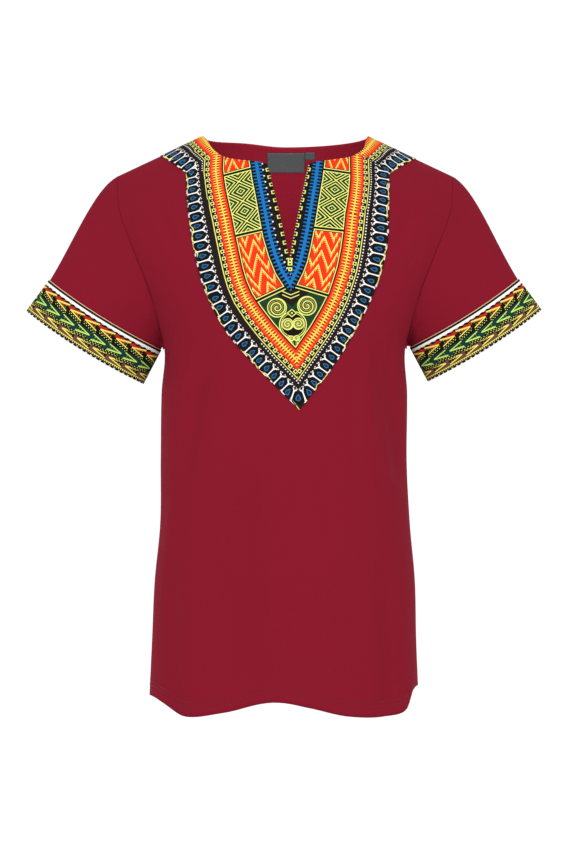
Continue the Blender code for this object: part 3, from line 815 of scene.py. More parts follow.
# rows of the sleeve bands: middle, shift, leg, half height, way of the point, line, fill near it, fill
bandRows = (
    (12.8, 0.0, 17.5, 4.2, -1.0, "yellow", "rust", "black"),
    (25.5, 7.0, 17.4, 3.7, 1.0, "paleGreen", "black", "teal"),
    (35.6, 3.5, 17.3, 3.4, -1.0, "yellow", "black", "brownBlack"),
)
bandRepeat = 21.0


def dotRows(across, run, first, second):
    # two staggered rows of small dots
    return [dotMask(across - row, run.repeat(3.5, shift), 0.52)
            for row, shift in ((first, 0.0), (second, 1.75))]


def bandRowLayers(run, deep, centre, shift, leg, high, hand, line, point, fill):
    pointed = run * hand - shift
    away = pointed.make("FLOORED_MODULO", pointed, bandRepeat)
    spread = (away / leg) * high
    low = deep - centre
    fromLine = abs(low) - spread
    isLeg = away.under(leg)
    body = fromLine.under(0.0) * isLeg
    specks = dotMask(run.repeat(3.5), low.repeat(2.6, 1.3), 0.50) * body * away.within(5.0, 15.0)
    serrated = (run / 1.7).part().over(0.45)
    upper = low.under(0.0, 0.2) if hand < 0.0 else low.over(0.0, 0.2)
    border = abs(fromLine).under(0.55) + fromLine.within(-1.5, 0.0) * serrated * upper
    # rows of small dots beside the plain leg, on black
    beside = low * (-hand) - spread
    strip = beside.within(1.2, 5.2) * away.under(leg + 2.0)
    strip = strip * (deep.within(13.0, 20.9) if centre < 20.0 else deep.under(0.0))
    return [
        (fill, body),
        (point, body * away.under(leg * 0.62, leg * 0.35)),
        (line, specks * 0.6),
        (line, border.least(1.0) * isLeg * abs(low).under(high + 0.5)),
        ("black", strip),
    ] + [("lime", dots * strip) for dots in dotRows(beside, run, 2.1, 4.0)]


def makeCuffPrint():
    material, tree, shader = clothMaterial("cuffPrint", 0.78, 0.05, 0.0)
    run, deep = mapLabels(tree, "band")
    wave = (run * (2.0 * math.pi / 7.5)).sine()
    scallop = (run.repeat(7.5) / 3.7).reach((deep - 6.2) / 2.9)
    lens = deep - 9.6 - abs(run.repeat(bandRepeat, 9.0)) * 0.25
    layers = [
        ("peach", deep.under(0.8)),
        ("white", deep.within(3.3, 6.0) + (deep - wave * 0.5).within(5.9, 6.5)),
        ("orangeRed", deep.over(8.0) * lens.under(0.5, 0.9) * scallop.over(1.0, 0.1) * 0.55),
        ("teal", deep.within(20.9, 30.2)),
        ("brown", deep.within(33.2, 39.8)),
    ]
    for row in bandRows:
        layers += bandRowLayers(run, deep, *row)
    low = deep - (run.repeat(bandRepeat) * 0.13 + 31.2)
    layers += [("black", abs(low).under(1.9))]
    layers += [("lime", dots) for dots in dotRows(low, run, -0.9, 0.9)]
    layers += [
        ("black", deep.over(39.8)),
        ("yellow", deep.within(40.6, 42.4) * (run / 2.6).part().over(0.68, 0.15)),
        ("yellow", deep.within(40.3, 41.0)),
        ("white", deep.over(43.6) * abs(run.repeat(6.0)).under(1.0) * 0.85),
    ]
    finishPrint(tree, shader, painted(tree, ink["black"], layers), run, deep)
    return material


def makeLabelCloth():
    material, tree, shader = clothMaterial("labelCloth", 0.55, 0.25, 0.05)
    across, down = mapLabels(tree, "cloth")
    height = useGroup(tree, weaveGroup, Across=across, Down=down * 3.0, Pitch=0.30)["Height"]
    # lighter on the thread tops and darker between them, painted light and shade of the weave, with some
    # random tone from noise
    weaveLightAndShade = (height * 0.6 + noiseOf(tree, 600.0) * 0.4).over(0.5, 0.6)
    feed(tree, shader, {"Base Color": mixColour(tree, (0.024, 0.026, 0.028), (0.056, 0.060, 0.064), weaveLightAndShade),
                        "Normal": bumpOf(tree, height, 0.3, 0.0001)})
    return material


def makeThread(name, colour):
    material, tree, shader = clothMaterial(name, 0.6, 0.2, 0.1)
    twist = newNode(tree, "TexWave", {"Vector": objectPlace(tree), "Scale": 900.0})
    # the thread is darker in the grooves of its twist, painted shade
    ply = Wire(tree, twist.outputs["Fac"])
    darker = tuple(value * 0.6 for value in colour)
    feed(tree, shader, {"Base Color": mixColour(tree, darker, colour, ply),
                        "Normal": bumpOf(tree, ply, 0.4, 0.0001)})
    return material


def makeFloor():
    material, tree, shader = clothMaterial("paleFloor", 0.9, 0.0, 0.0)
    pale = mixColour(tree, (0.97, 0.97, 0.97), (0.99, 0.99, 0.99), noiseOf(tree, 6.0))
    feed(tree, shader, {"Base Color": pale})
    return material


neckPrint = makeNeckPrint()
cuffPrint = makeCuffPrint()
labelCloth = makeLabelCloth()
redThread = makeThread("redThread", (0.190, 0.0070, 0.0190))
blackThread = makeThread("blackThread", (0.020, 0.018, 0.018))
print("prints made")


# front and back
panelSteps = {
    "front": {"across": 39, "side": 66, "armhole": 51, "centre": 81, "slit": 15, "neck": 21, "wall": 0.0011},
    "back": {"across": 39, "side": 45, "armhole": 51, "centre": 81, "slit": 0, "neck": 15, "wall": 0.0011},
}


def addPanel(name, face):
    steps = panelSteps[name]
    bm = bmesh.new()
    for side in (-1, 1):
        places = panelPlaces(face, side, steps)
        layGrid(bm, steps["across"], len(places) - 1,
                lambda column, row: bodyPoint(face, *places[row][column]),
                {"cloth": lambda column, row: (places[row][column][0] * mapGirth, places[row][column][1])})
    return addCloth(name, bm, bodyMiddle, jersey, steps["wall"])


frontPiece = addPanel("front", front)
backPiece = addPanel("back", back)
print("front and back laid")


# sleeves and their bands
def armholeRing(side):
    # seam points round one armhole with the surface's normal and its way out across the seam
    ring = []
    aside, down = side * 0.0004, 0.0002
    rise = shirt["shoulderDrop"], shirt["shoulderHalf"] - shirt["neckHalf"]
    tipNormal = Vector((side * rise[0], 0.0, rise[1])).normalized()
    for face in (front, back):
        shares = [seamShare(step, armholeSteps, shirt["edgeStep"]) for step in range(armholeSteps + 1)]
        for share in shares if face == front else shares[::-1][1:-1]:
            turn, height = armholePlace(face, side, share)
            point = bodyPoint(face, turn, height)
            near = bodyPoint(face, turn - aside, height - down)
            across = bodyPoint(face, turn - 2.0 * aside, height - down) - near
            upward = bodyPoint(face, turn - aside, height - 2.0 * down) - near
            normal = across.cross(upward).normalized()
            if normal.dot(Vector((point.x, point.y, 0.0))) < 0.0:
                normal.negate()
            if share in (0.0, 1.0):
                point.y = 0.0
                normal = tipNormal if share else Vector((side, 0.0, 0.0))
            ring.append((point, normal, share))
    found = []
    for index, (point, normal, share) in enumerate(ring):
        tangent = (ring[(index + 1) % len(ring)][0] - ring[index - 1][0]).normalized()
        outward = tangent.cross(normal).normalized()
        away = Vector((side, 0.0, 0.6)) if share < 0.2 else Vector((side, 0.0, 0.0))
        if outward.dot(away) < 0.0:
            outward.negate()
        found.append((point, normal, outward, share))
    return found


def sleeveFrame(end):
    side, outer, inner, _ = end
    outer = Vector((side * outer[0], 0.0, outer[1]))
    inner = Vector((side * inner[0], 0.0, inner[1]))
    across = (inner - outer).normalized()
    return (outer + inner) / 2.0, Vector((side * abs(across.z), 0.0, -abs(across.x))), across, \
        (inner - outer).length / 2.0


def sleevePoint(end, fromEnd, share):
    # point of the sleeve a distance in from its end: share 0 is under the arm, 0.5 the top
    centre, along, across, half = sleeveFrame(end)
    half -= sleeveCut["taper"] * fromEnd / sleeveCut["bandWidth"]
    angle = 2.0 * math.pi * share
    bow = sleeveCut["bow"] * math.sin(angle) ** 2
    return (centre + across * (half * math.cos(angle)) + along * (bow - fromEnd)
            + Vector((0.0, -end[3] * math.sin(angle), 0.0)))


def runsAlong(points):
    # run from the first of some points to each of them
    return np.concatenate([[0.0], np.cumsum([(b - a).length for a, b in zip(points, points[1:])])])


def ringShares(end, points):
    # shares round the sleeve's ellipse, matched in length to the seam points
    steps = np.arange(361) / 360
    lengths = runsAlong([sleevePoint(end, sleeveCut["bandWidth"], step) for step in steps])
    runs = runsAlong(points + points[:1])
    return [float(share) for share in np.interp(runs / runs[-1] * lengths[-1], lengths, steps)]


def sleeveMiddle(end):
    centre, along, _, _ = sleeveFrame(end)
    return lambda point: centre + along * (point - centre).dot(along)


sleeveSettings = {"rows": 30, "hiddenRows": 6, "wall": 0.0011, "mapGirth": 0.37, "mapRow": 0.0045}
bandSettings = {"rows": 14, "around": 200, "wall": 0.0009}
# share round the sleeve (0 under the arm, 0.25 front, 0.5 top), its drift downwards, start and end of the
# crease between armhole and band, half width as a share, height
sleeveCreases = {
    "left": [(0.10, 0.05, 0.02, 0.70, 0.035, -0.0016), (0.20, 0.04, 0.20, 0.95, 0.045, 0.0013),
             (0.33, -0.03, 0.30, 1.00, 0.050, -0.0012), (0.86, 0.04, 0.05, 0.75, 0.040, -0.0018),
             (0.70, -0.03, 0.25, 0.95, 0.050, 0.0014)],
    "right": [(0.09, 0.06, 0.03, 0.62, 0.034, -0.0018), (0.22, 0.02, 0.15, 0.90, 0.048, 0.0011),
              (0.36, -0.04, 0.35, 1.00, 0.046, -0.0013), (0.88, -0.04, 0.04, 0.70, 0.042, -0.0016),
              (0.67, 0.04, 0.20, 1.00, 0.052, 0.0012)],
}


def sleeveCrease(name, share, along):
    total = 0.0
    for middle, drift, first, last, wide, high in sleeveCreases[name]:
        part = (along - first) / (last - first)
        across = abs(share - middle - drift * part) / wide
        if 0.0 < part < 1.0 and across < 1.0:
            total += high * math.sin(math.pi * part) ** 2 * math.cos(across * math.pi / 2.0) ** 2
    return total


def sleeveStart(seam, along):
    point, normal, outward, heightShare = seam
    smooth = eased((heightShare - sleeveCut["smoothFrom"]) / sleeveCut["smoothSpan"])
    lead = (outward * smooth + along * (1.0 - smooth)).normalized()
    start = point + (outward * smooth + normal * (1.0 - smooth)).normalized() * shirt["seamGap"]
    return start, lead, smooth


def addSleeve(name, end):
    seam = armholeRing(end[0])
    along, middle = sleeveFrame(end)[1], sleeveMiddle(end)
    shares = ringShares(end, [row[0] for row in seam])
    count, rows, hiddenRows = len(seam), sleeveSettings["rows"], sleeveSettings["hiddenRows"]
    wide = sleeveCut["bandWidth"]

    def place(column, row):
        share = shares[column]
        if row >= rows:
            return sleevePoint(end, wide + (sleeveCut["turnUp"] - wide) * ((row - rows) / hiddenRows), share)
        start, lead, smooth = sleeveStart(seam[column % count], along)
        goal = sleevePoint(end, wide, share)
        chord = (goal - start).length
        down = row / rows
        down += smooth * (1.0 - seamShare(rows - row, rows, shirt["edgeStep"]) - down)
        point = hermite(start, lead * sleeveCut["startPull"] * chord,
                        goal, along * sleeveCut["endPull"] * chord, down)
        return point + (point - middle(point)).normalized() * sleeveCrease(name, share, row / rows)

    def label(column, row):
        return shares[column] * sleeveSettings["mapGirth"], -row * sleeveSettings["mapRow"]

    bm = bmesh.new()
    layGrid(bm, count, rows + hiddenRows, place, {"cloth": label})
    sleeve = addCloth("sleeve_" + name, bm, middle, jersey, sleeveSettings["wall"])

    steps = np.arange(721) / 720
    lengths = runsAlong([sleevePoint(end, 0.5 * wide, step) for step in steps])
    around, deep = bandSettings["around"], bandSettings["rows"]
    even = np.interp(np.arange(around + 1) / around * lengths[-1], lengths, steps)
    bm = bmesh.new()
    layGrid(bm, around, deep,
            lambda column, row: sleevePoint(end, wide * (1.0 - row / deep), even[column % around]),
            {"band": lambda column, row: (lengths[-1] * column / around, wide * row / deep)})
    cuff = addCloth("cuff_" + name, bm, middle, cuffPrint, bandSettings["wall"], 1.0, shirt["laidGap"])
    return sleeve, cuff, float(lengths[-1])


sleeves = {name: addSleeve(name, end) for name, end in sleeveEnds.items()}
print("sleeves laid, bands", [round(row[2], 4) for row in sleeves.values()])

# neck panel, seen from the front: ends of its shoulder seam, and its edge as height, left, right
neckPanel = {
    "left": -0.1455, "right": 0.1529, "corner": -0.0500, "tip": (0.0160, -0.3200),
    "across": 44, "shoulderRows": 22, "sideRows": 140, "wall": 0.0008,
    "mitreAt": 0.66,                                # share of the neckline where the corner's mitre meets it
    "slitCornerAt": 0.10, "slitPointAt": 0.46,      # shares of the side rows
    "edge": sorted(metres((
        (-50, -112.4, 119), (-90, -109.7, 116.9), (-136, -102.8, 114.5), (-184, -90.3, 101.3),
        (-232, -66, 77.8), (-268, -35.6, 56), (-294, -10.3, 36.5), (-320, 16, 16),
    ))),
}


def panelOutline(name, share):
    # outline from the corner down to the point
    corner, tip = neckPanel["corner"], neckPanel["tip"][1]
    heights = [corner + (tip - corner) * step / 60 for step in range(61)]
    column = 1 if name == "left" else 2
    return alongLine([(readTable(neckPanel["edge"], column, height), height) for height in heights], share)


def panelInside(name, share):
    # inner edge for the side rows: neckline, slit, then the line down to the point
    side = sideOf[name]
    cornerAt, pointAt = neckPanel["slitCornerAt"], neckPanel["slitPointAt"]
    if share <= cornerAt:
        return neckline(side, neckPanel["mitreAt"] * (1.0 - share / cornerAt))
    if share <= pointAt:
        return slitEdge(side, 1.0 - (share - cornerAt) / (pointAt - cornerAt))
    return blend(shirt["slitPoint"], neckPanel["tip"], (share - pointAt) / (1.0 - pointAt))


# lines of the print on the front, from the neck or the corner downwards, in millimetres; the dividers of
# the panels run from x and height outside to x and height inside
printLines = {
    "left": {
        "shoulder": metres((
            (-113.8, -17.1, -11.3), (-102.1, -43.3, -24.5), (-90.9, -57.1, -35.8),
        )),
        "yellow": metres((
            (-90.9, -57.1, -35.8), (-91.6, -66.1, -50.2), (-88.2, -80.8, -73.9), (-84.2, -89.9, -93.2),
            (-80.8, -93.9, -107.6), (-76.9, -97.9, -127.3), (-72.6, -101.2, -147.9),
            (-67.7, -103.8, -169.3), (-63.2, -105.5, -184.4), (-55.7, -107.6, -201.5),
            (-43.8, -110.6, -219.9), (-29, -113.5, -239.2), (-9.8, -115.6, -260.8), (14.6, -116.1, -285.8),
        )),
        "blue": metres((
            (-32.6, -70.7, -39), (-29.5, -80.8, -58.8), (-25.1, -91.1, -81.6), (-21.2, -98, -103.8),
            (-17, -102.7, -125.7), (-10.8, -106.3, -147.2), (-3.6, -108.7, -165), (5.6, -110.3, -179.5),
        )),
        "dividers": metres((
            (-69.1, -55.3, -38.9, -47.4), (-54.4, -125.5, -23.9, -118.6), (-30.1, -198.3, -1.8, -184.7),
        )),
    },
    "right": {
        "shoulder": metres((
            (121.1, -16.7, -14.8), (107.7, -44.8, -29.3), (94.8, -59.2, -40.9),
        )),
        "yellow": metres((
            (94.8, -59.2, -40.9), (94.9, -72.5, -62), (92.6, -84.2, -82.9), (89, -91.4, -103),
            (86.7, -95.6, -123.9), (83.9, -98.5, -143.4), (79.4, -101.1, -165.7), (74.4, -102.8, -181.8),
            (68.6, -104.6, -199), (59.5, -107.4, -217.4), (46.9, -110.7, -239.1), (31.1, -114.1, -262),
            (14.6, -116.1, -285.8),
        )),
        "blue": metres((
            (37.4, -70.2, -38.9), (34.9, -80.4, -58.7), (32.2, -88.2, -74.8), (28.4, -96.1, -97.1),
            (25.1, -100.9, -116.9), (21.3, -104.5, -136.5), (17.4, -107.1, -153), (12.9, -108.7, -165),
            (5.6, -110.3, -179.5),
        )),
        "dividers": metres((
            (74.1, -52.4, 43.3, -48.2), (63.7, -119.4, 33.5, -116.5), (45.3, -191.9, 14.7, -182.9),
        )),
    },
}
ribbonWide = 0.0258
dropMiddle = 0.0174
tipRound = 0.0170
tipLift = 0.0030
blueAfter = 0.06            # how far the blue band's line is carried on past its end


def lineRuns(line):
    # run from the first point of a line to each of its points
    return np.concatenate([[0.0], np.cumsum(np.linalg.norm(np.diff(line, axis=0), axis=1))])


def longer(line, before, after):
    # line of points with its ends carried straight on
    line = [np.array(point) for point in line]
    first = line[0] + (line[0] - line[1]) / np.linalg.norm(line[0] - line[1]) * before
    last = line[-1] + (line[-1] - line[-2]) / np.linalg.norm(line[-1] - line[-2]) * after
    return np.array(([first] if before else []) + line + ([last] if after else []))


def onLine(points, line, plane, side):
    # run along a line and signed distance from it for many points; plane names the two axes of the sign
    steps = np.diff(line, axis=0)
    lengths = np.linalg.norm(steps, axis=1)
    starts = lineRuns(line)
    runs = np.zeros(len(points))
    best = np.full(len(points), 1e9)
    signs = np.ones(len(points))
    for begin, step, length, start in zip(line[:-1], steps, lengths, starts):
        away = points - begin
        share = np.clip(away @ step / length ** 2, 0.0, 1.0)
        rest = away - share[:, None] * step
        far = np.linalg.norm(rest, axis=1)
        cross = step[plane[0]] * away[:, plane[1]] - step[plane[1]] * away[:, plane[0]]
        closer = far < best - 1e-9
        runs[closer] = (start + share * length)[closer]
        signs[closer] = np.sign(cross * side)[closer]
        best = np.minimum(best, far)
    return runs, best * signs


def ribbonLabels(name, points, isShoulder, outline):
    # maps of the ribbon and of its drops: run from the point, distance out from the yellow line
    side = sideOf[name]
    plane = (0, 1) if isShoulder else (0, 2)
    samples = printLines[name]["shoulder" if isShoulder else "yellow"]
    yellow = np.array(printLines[name]["yellow"])
    before, after = (0.02, 0.05) if isShoulder else (0.05, 0.06)
    line = longer(samples, before, after)
    runs, out = onLine(points, line, plane, side)
    total = lineRuns(yellow)[-1]
    fromTip = total + (lineRuns(longer(samples, before, 0.0))[-1] if isShoulder else before) - runs
    samples = np.array(samples)
    sampleRuns, _ = onLine(samples, line, plane, side)
    wide = np.abs(onLine(samples, outline, plane, side)[1])
    if not isShoulder:
        wide[-1] = wide[-2]
    inside = np.interp(runs, [sampleRuns[0], sampleRuns[-1]], [0.68, 0.90]) if isShoulder else 1.0
    out = out * np.where(out > 0.0, ribbonWide / np.interp(runs, sampleRuns, wide), inside)

    tip, last = yellow[-1], yellow[-1] - yellow[-2]
    half = math.acos(min(abs(last[0]) / math.hypot(last[0], last[2]), 1.0))
    flat = points[:, [0, 2]] - tip[[0, 2]]
    angle = np.arctan2(flat[:, 0] * side, -flat[:, 1])
    inWedge = (not isShoulder) & (fromTip < 0.0) & (np.abs(angle) <= half)
    far = np.linalg.norm(points - tip, axis=1)
    middleFar = dropMiddle + tipLift * (1.0 - np.clip(np.abs(angle) / half, 0.0, 1.0))
    dropAlong = np.where(inWedge, angle * tipRound, np.maximum(fromTip, 0.0) + half * tipRound) * side
    dropOut = np.where(inWedge, far - middleFar, out - dropMiddle)
    return np.stack([side * fromTip, out], 1), np.stack([dropAlong, dropOut], 1)


def middleLabels(name, points, out, inward):
    # share across the panels between the bands, and their level from divider to divider
    toRibbon = bandInside / 1000.0 - out
    toBlue = -blueHalf / 1000.0 - inward
    share = np.clip(toRibbon / np.maximum(toRibbon + toBlue, 0.0005), -1.0, 2.0)
    heights = []
    for outX, outZ, inX, inZ in printLines[name]["dividers"]:
        way = np.array([inX - outX, inZ - outZ])
        way /= np.linalg.norm(way)
        down = np.array([way[1], -way[0]]) * (1.0 if way[0] > 0.0 else -1.0)
        heights.append((points[:, [0, 2]] - [outX, outZ]) @ down)
    top, mid, low = heights
    high = panelHigh / 1000.0
    level = np.where(top < 0.0, top / high,
                     np.where(mid < 0.0, top / np.maximum(top - mid, 1e-6),
                              np.where(low < 0.0, 1.0 + mid / np.maximum(mid - low, 1e-6), 2.0 + low / high)))
    return np.stack([share, level], 1)


def printLabels(name, isShoulder, columns, rows, place):
    # all the maps of one grid of the neck panel
    side = sideOf[name]
    points = np.array([place(column, row) for row in range(rows + 1) for column in range(columns + 1)])
    ribbon, dropMap = ribbonLabels(name, points, isShoulder, points[::columns + 1])
    blue = longer(printLines[name]["blue"], 0.03, blueAfter)
    runs, far = onLine(points, blue, (0, 2), -side)
    slit = np.stack([lineRuns(blue)[-1] - blueAfter - runs, far], 1)
    if isShoulder:
        slit[:, 1] = -0.06      # no part of the slit's bands lies there
    edge = np.array([clothPoint(front, *slitEdge(side, step / 40)) for step in range(41)])[::-1]
    edgeRuns, edgeFar = onLine(points, edge, (0, 2), side)
    maps = {"ribbon": ribbon, "drops": dropMap, "slit": slit,
            "edge": np.stack([lineRuns(edge)[-1] - edgeRuns, np.abs(edgeFar)], 1),
            "middle": middleLabels(name, points, ribbon[:, 1], slit[:, 1])}

    def reader(table):
        return lambda column, row: tuple(float(value) for value in table[row * (columns + 1) + column])

    return {key: reader(table) for key, table in maps.items()}


def addNeckPanel():
    bm = bmesh.new()
    across, shoulderRows, sideRows = (neckPanel[key] for key in ("across", "shoulderRows", "sideRows"))
    for name, side in sideOf.items():
        seamEnd = (neckPanel[name], ridgeHeight(neckPanel[name]))
        corner = panelOutline(name, 0.0)

        def shoulderPlace(column, row):
            out = blend(seamEnd, corner, row / shoulderRows)
            into = neckline(side, 1.0 - (1.0 - neckPanel["mitreAt"]) * row / shoulderRows)
            x, height = blend(out, into, column / across)
            return clothPoint(front, x, min(height, ridgeHeight(x)) if row else ridgeHeight(x))

        def sidePlace(column, row):
            share = row / sideRows
            spot = blend(panelOutline(name, share), panelInside(name, share), column / across)
            return clothPoint(front, *spot)

        for isShoulder, rows, place in ((True, shoulderRows, shoulderPlace), (False, sideRows, sidePlace)):
            layGrid(bm, across, rows, place, printLabels(name, isShoulder, across, rows, place))
    return addCloth("neck_panel", bm, bodyMiddle, neckPrint, neckPanel["wall"], 1.0, shirt["laidGap"])


neckPiece = addNeckPanel()
print("neck panel laid")

# labels inside the back neck: centre, width, height, drop of the top edge, cells
labels = {
    "label": {"centre": 0.0012, "width": 0.0455, "height": 0.0215, "drop": 0.0070, "cells": (36, 18)},
    "size_tab": {"centre": 0.0304, "width": 0.0120, "height": 0.0080, "drop": 0.0065, "cells": (12, 8)},
}
labelWall = 0.0004
labelInset = 0.0020


def addLabel(name, sizes):
    across, down = sizes["cells"]

    def spot(column, row):
        return sizes["width"] * (column / across - 0.5), -sizes["height"] * row / down

    def place(column, row):
        x, height = spot(column, row)
        return clothPoint(back, sizes["centre"] + x, height - sizes["drop"])

    bm = bmesh.new()
    layGrid(bm, across, down, place, {"cloth": spot})
    return addCloth(name, bm, bodyMiddle, labelCloth, labelWall, out=-labelInset)


labelPieces = [addLabel(name, sizes) for name, sizes in labels.items()]
print("labels laid")

# turned hem, seam tapes and stitches
trim = {
    "hemDepth": 0.0200, "hemRows": 8, "hemSteps": 160, "hemTurn": 89.6, "hemIn": 0.00125, "hemWall": 0.0008,
    "hemLift": 0.0004, "needles": (0.0120, 0.0165), "tapeHalf": 0.0048, "tapeIn": 0.0014, "tapeWall": 0.0006,
    "tapeMap": (0.004, 0.0024),
    "tapeCrown": 0.0003, "sideTapeRise": 0.009, "stitch": 0.0029, "stitchGap": 0.0010, "thread": 0.00026,
    "batch": 25, "cuffRows": (0.0022, 0.0434), "panelEdge": 0.0016, "neckEdge": 0.0014, "neckDrop": 0.0012,
}


def addStitches(name, material, paths):
    # small raised stitches along paths of (point, outward) pairs
    places = []
    length, gap, thick = trim["stitch"], trim["stitchGap"], trim["thread"]
    for path in paths:
        points, normals = (np.array([tuple(row[index]) for row in path]) for index in (0, 1))
        runs = lineRuns(points)

        def readPath(table, run):
            return Vector([np.interp(run, runs, table[:, axis]) for axis in range(3)])

        count = max(int(runs[-1] // (length + gap)), 1)
        for index in range(count):
            begin = (index + 0.12) * runs[-1] / count
            first, last = readPath(points, begin), readPath(points, begin + length)
            normal = readPath(normals, begin).normalized()
            along = (last - first).normalized()
            aside = normal.cross(along).normalized()
            middle = (first + last) / 2.0 + normal * thick * 0.55
            turn = Matrix((aside, normal, along)).transposed().to_quaternion()
            places.append(Matrix.LocRotScale(middle, turn, Vector((thick, thick, length / 2.0))))
    bm = bmesh.new()
    group = bpy.data.meshes.new(name + "_group")
    for start in range(0, len(places), trim["batch"]):
        some = bmesh.new()
        for place in places[start:start + trim["batch"]]:
            bmesh.ops.create_uvsphere(some, u_segments=6, v_segments=4, radius=1.0, matrix=place)
        some.to_mesh(group)
        some.free()
        bm.from_mesh(group)
    bpy.data.meshes.remove(group)
    return addPiece(name, bm, material)


def bodyPath(face, places):
    # points and outward directions on the front or back
    path = []
    for turn, height in places:
        point = bodyPoint(face, turn, height)
        path.append((point, (bodyPoint(face, turn, height, -0.001) - point).normalized()))
    return path


def addHem(name, face):
    count, depth, rows = trim["hemSteps"], trim["hemDepth"], trim["hemRows"]
    reach = trim["hemTurn"]
    turns = [math.radians(2.0 * reach * step / count - reach) for step in range(count + 1)]

    def place(column, row):
        height = hemHeight(face, turns[column]) + trim["hemLift"] + depth * row / rows
        return bodyPoint(face, turns[column], height, trim["hemIn"])

    bm = bmesh.new()
    layGrid(bm, count, rows, place,
            {"cloth": lambda column, row: (turns[column] * mapGirth, -depth * row / rows)})
    closeSheet(bm, bodyMiddle)
    turned = addPiece(name + "_hem", bm, jersey, trim["hemWall"])
    paths = [bodyPath(face, [(turn, hemHeight(face, turn) + high) for turn in turns])
             for high in trim["needles"]]
    return [turned, addStitches(name + "_hem_stitches", redThread, paths)]


def addTape(name, rows, closed=False):
    # strip behind a seam; rows are (point, inward, toward one side, toward the other)
    def place(column, row):
        point, inward, first, second = rows[column % len(rows)]
        aside = row / 2.0 - 1.0
        deep = trim["tapeIn"] + trim["tapeCrown"] * (1.0 - abs(aside))
        return point + inward * deep + (first if aside < 0.0 else second) * abs(aside) * trim["tapeHalf"]

    bm = bmesh.new()
    layGrid(bm, len(rows) if closed else len(rows) - 1, 4, place,
            {"cloth": lambda column, row: (column * trim["tapeMap"][0], row * trim["tapeMap"][1])})
    bmesh.ops.remove_doubles(bm, verts=bm.verts, dist=mergeReach)
    bmesh.ops.recalc_face_normals(bm, faces=bm.faces)
    if sum(face.normal.dot(rows[0][1]) for face in list(bm.faces)[:8]) > 0.0:
        bmesh.ops.reverse_faces(bm, faces=bm.faces)
    return addPiece(name, bm, jersey, trim["tapeWall"])


def armholeTape(name, end):
    along = sleeveFrame(end)[1]
    rows = [(seam[0], -(seam[1] + seam[2] * 0.25).normalized(), -seam[2], sleeveStart(seam, along)[1])
            for seam in armholeRing(end[0])]
    return addTape("armhole_tape_" + name, rows, True)


def sideTape(name, side):
    bottom = hemHeight(front, side * math.pi / 2.0) + 0.003
    heights = [bottom + (shirt["armpit"] + trim["sideTapeRise"] - bottom) * step / 60 for step in range(61)]
    ways = [Vector((-side * 0.12, face, 0.0)).normalized() for face in (front, back)]
    return addTape("side_tape_" + name, [
        (Vector((side * halfWidth(side, height), 0.0, height)), Vector((-side, 0.0, 0.0)), *ways)
        for height in heights])


def shoulderTape(name, side):
    wide = shirt["shoulderHalf"] - shirt["neckHalf"] - 0.003
    places = [side * (shirt["neckHalf"] + 0.001 + wide * step / 24) for step in range(25)]
    ways = Vector((0.0, -1.0, -0.35)).normalized(), Vector((0.0, 1.0, -0.30)).normalized()
    return addTape("shoulder_tape_" + name, [
        (Vector((x, 0.0, ridgeHeight(x))), Vector((0.0, 0.0, -1.0)), *ways) for x in places])


frontTrims = addHem("front", front)
backTrims = addHem("back", back)
for name, end in sleeveEnds.items():
    frontTrims.append(sideTape(name, end[0]))
    backTrims.append(shoulderTape(name, end[0]))
    armholeTape(name, end)


def cuffStitches(name, end):
    # rows along both edges of a band
    middle = sleeveMiddle(end)
    paths = []
    for fromEnd in trim["cuffRows"]:
        points = [sleevePoint(end, fromEnd, step / 240) for step in range(241)]
        normals = [(point - middle(point)).normalized() for point in points]
        paths.append([(point + normal * (shirt["laidGap"] + bandSettings["wall"]), normal)
                      for point, normal in zip(points, normals)])
    return addStitches("cuff_%s_stitches" % name, blackThread, paths)


cuffTrims = {name: [cuffStitches(name, end)] for name, end in sleeveEnds.items()}


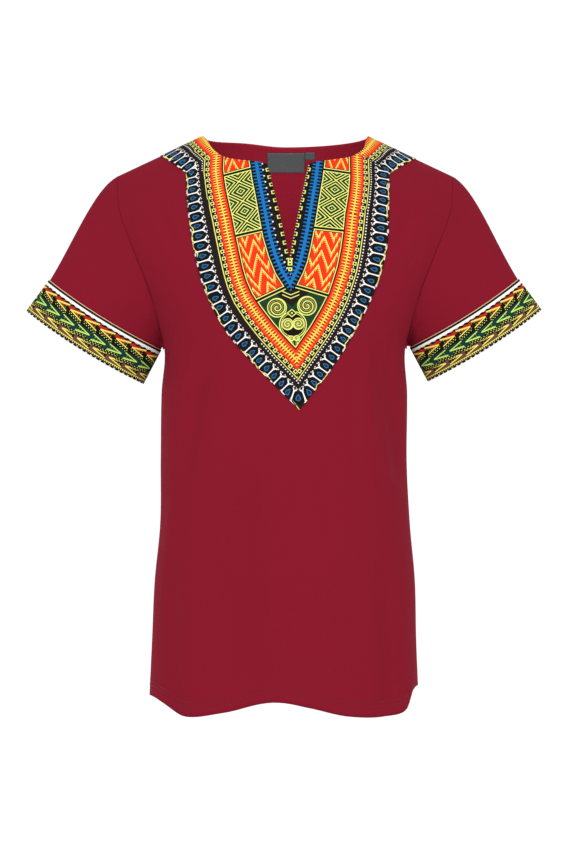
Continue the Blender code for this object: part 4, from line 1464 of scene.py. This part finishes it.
def panelStitches():
    # a row just inside the outline, and one along the neck and slit edge
    paths = []
    lift = shirt["laidGap"] + neckPanel["wall"]
    for name, side in sideOf.items():
        ends = [(panelOutline(name, step / 140), panelInside(name, step / 140)) for step in range(141)]
        edge = [blend(out, into, trim["panelEdge"] / math.dist(out, into)) for out, into in ends]
        around = [(x, height - trim["neckDrop"])
                  for x, height in (neckline(side, 0.97 - 0.95 * step / 60) for step in range(61))]
        around += [slitEdge(side, 1.0 - 0.97 * step / 60) for step in range(1, 61)]
        for places in (edge, [(x + side * trim["neckEdge"], height) for x, height in around]):
            spots = [(turnOf(x, min(height, ridgeHeight(x) - 0.001)), min(height, ridgeHeight(x)))
                     for x, height in places]
            paths.append([(point + normal * lift, normal) for point, normal in bodyPath(front, spots)])
    return addStitches("neck_panel_stitches", blackThread, paths)


panelTrims = [panelStitches()]
print("hems, tapes and stitches laid")

# camera, light and floor
studio = {
    "camera": (0.0, -2.2, -0.3393), "lens": 79.2, "floorHeight": -1.02, "floorHalf": 14.0, "worldLight": 1.05,
    # place, aim, size, power
    "lamps": {
        "keyLight": ((-1.1, -2.4, 0.9), (0.0, 0.0, -0.35), 1.8, 24.0),
        "fillLight": ((1.3, -2.3, 0.4), (0.0, 0.0, -0.35), 1.8, 17.0),
        "neckLight": ((0.0, -0.050, -0.085), (0.0, 0.100, -0.070), 0.14, 0.28),
    },
}


def addStudio():
    camera = bpy.data.cameras.new("camera")
    camera.lens = studio["lens"]
    camera.sensor_width = 36.0
    camera.clip_end = 50.0
    holder = addObject("camera", camera)
    holder.location = studio["camera"]
    holder.rotation_euler = (math.pi / 2.0, 0.0, 0.0)
    bpy.context.scene.camera = holder

    world = bpy.data.worlds.new("studio")
    world.use_nodes = True
    feed(world.node_tree, world.node_tree.nodes["Background"],
         {"Color": (1.0, 1.0, 1.0), "Strength": studio["worldLight"]})
    bpy.context.scene.world = world

    for name, (place, aim, size, power) in studio["lamps"].items():
        lamp = bpy.data.lights.new(name, "AREA")
        lamp.shape = "DISK"
        lamp.size = size
        lamp.energy = power
        light = addObject(name, lamp)
        light.location = place
        light.rotation_euler = (Vector(aim) - Vector(place)).to_track_quat("-Z", "Y").to_euler()
        light.visible_camera = False

    bm = bmesh.new()
    bmesh.ops.create_grid(bm, x_segments=1, y_segments=1, size=studio["floorHalf"])
    bmesh.ops.translate(bm, verts=bm.verts, vec=(0.0, 0.0, studio["floorHeight"]))
    meshObject("floor", bm, makeFloor())


addStudio()
bpy.context.scene.view_settings.view_transform = "Standard"
print("studio set")


for name, (sleeve, cuff, bandLength) in sleeves.items():
    "sleeve_" + name
    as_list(cuffTrims[name])
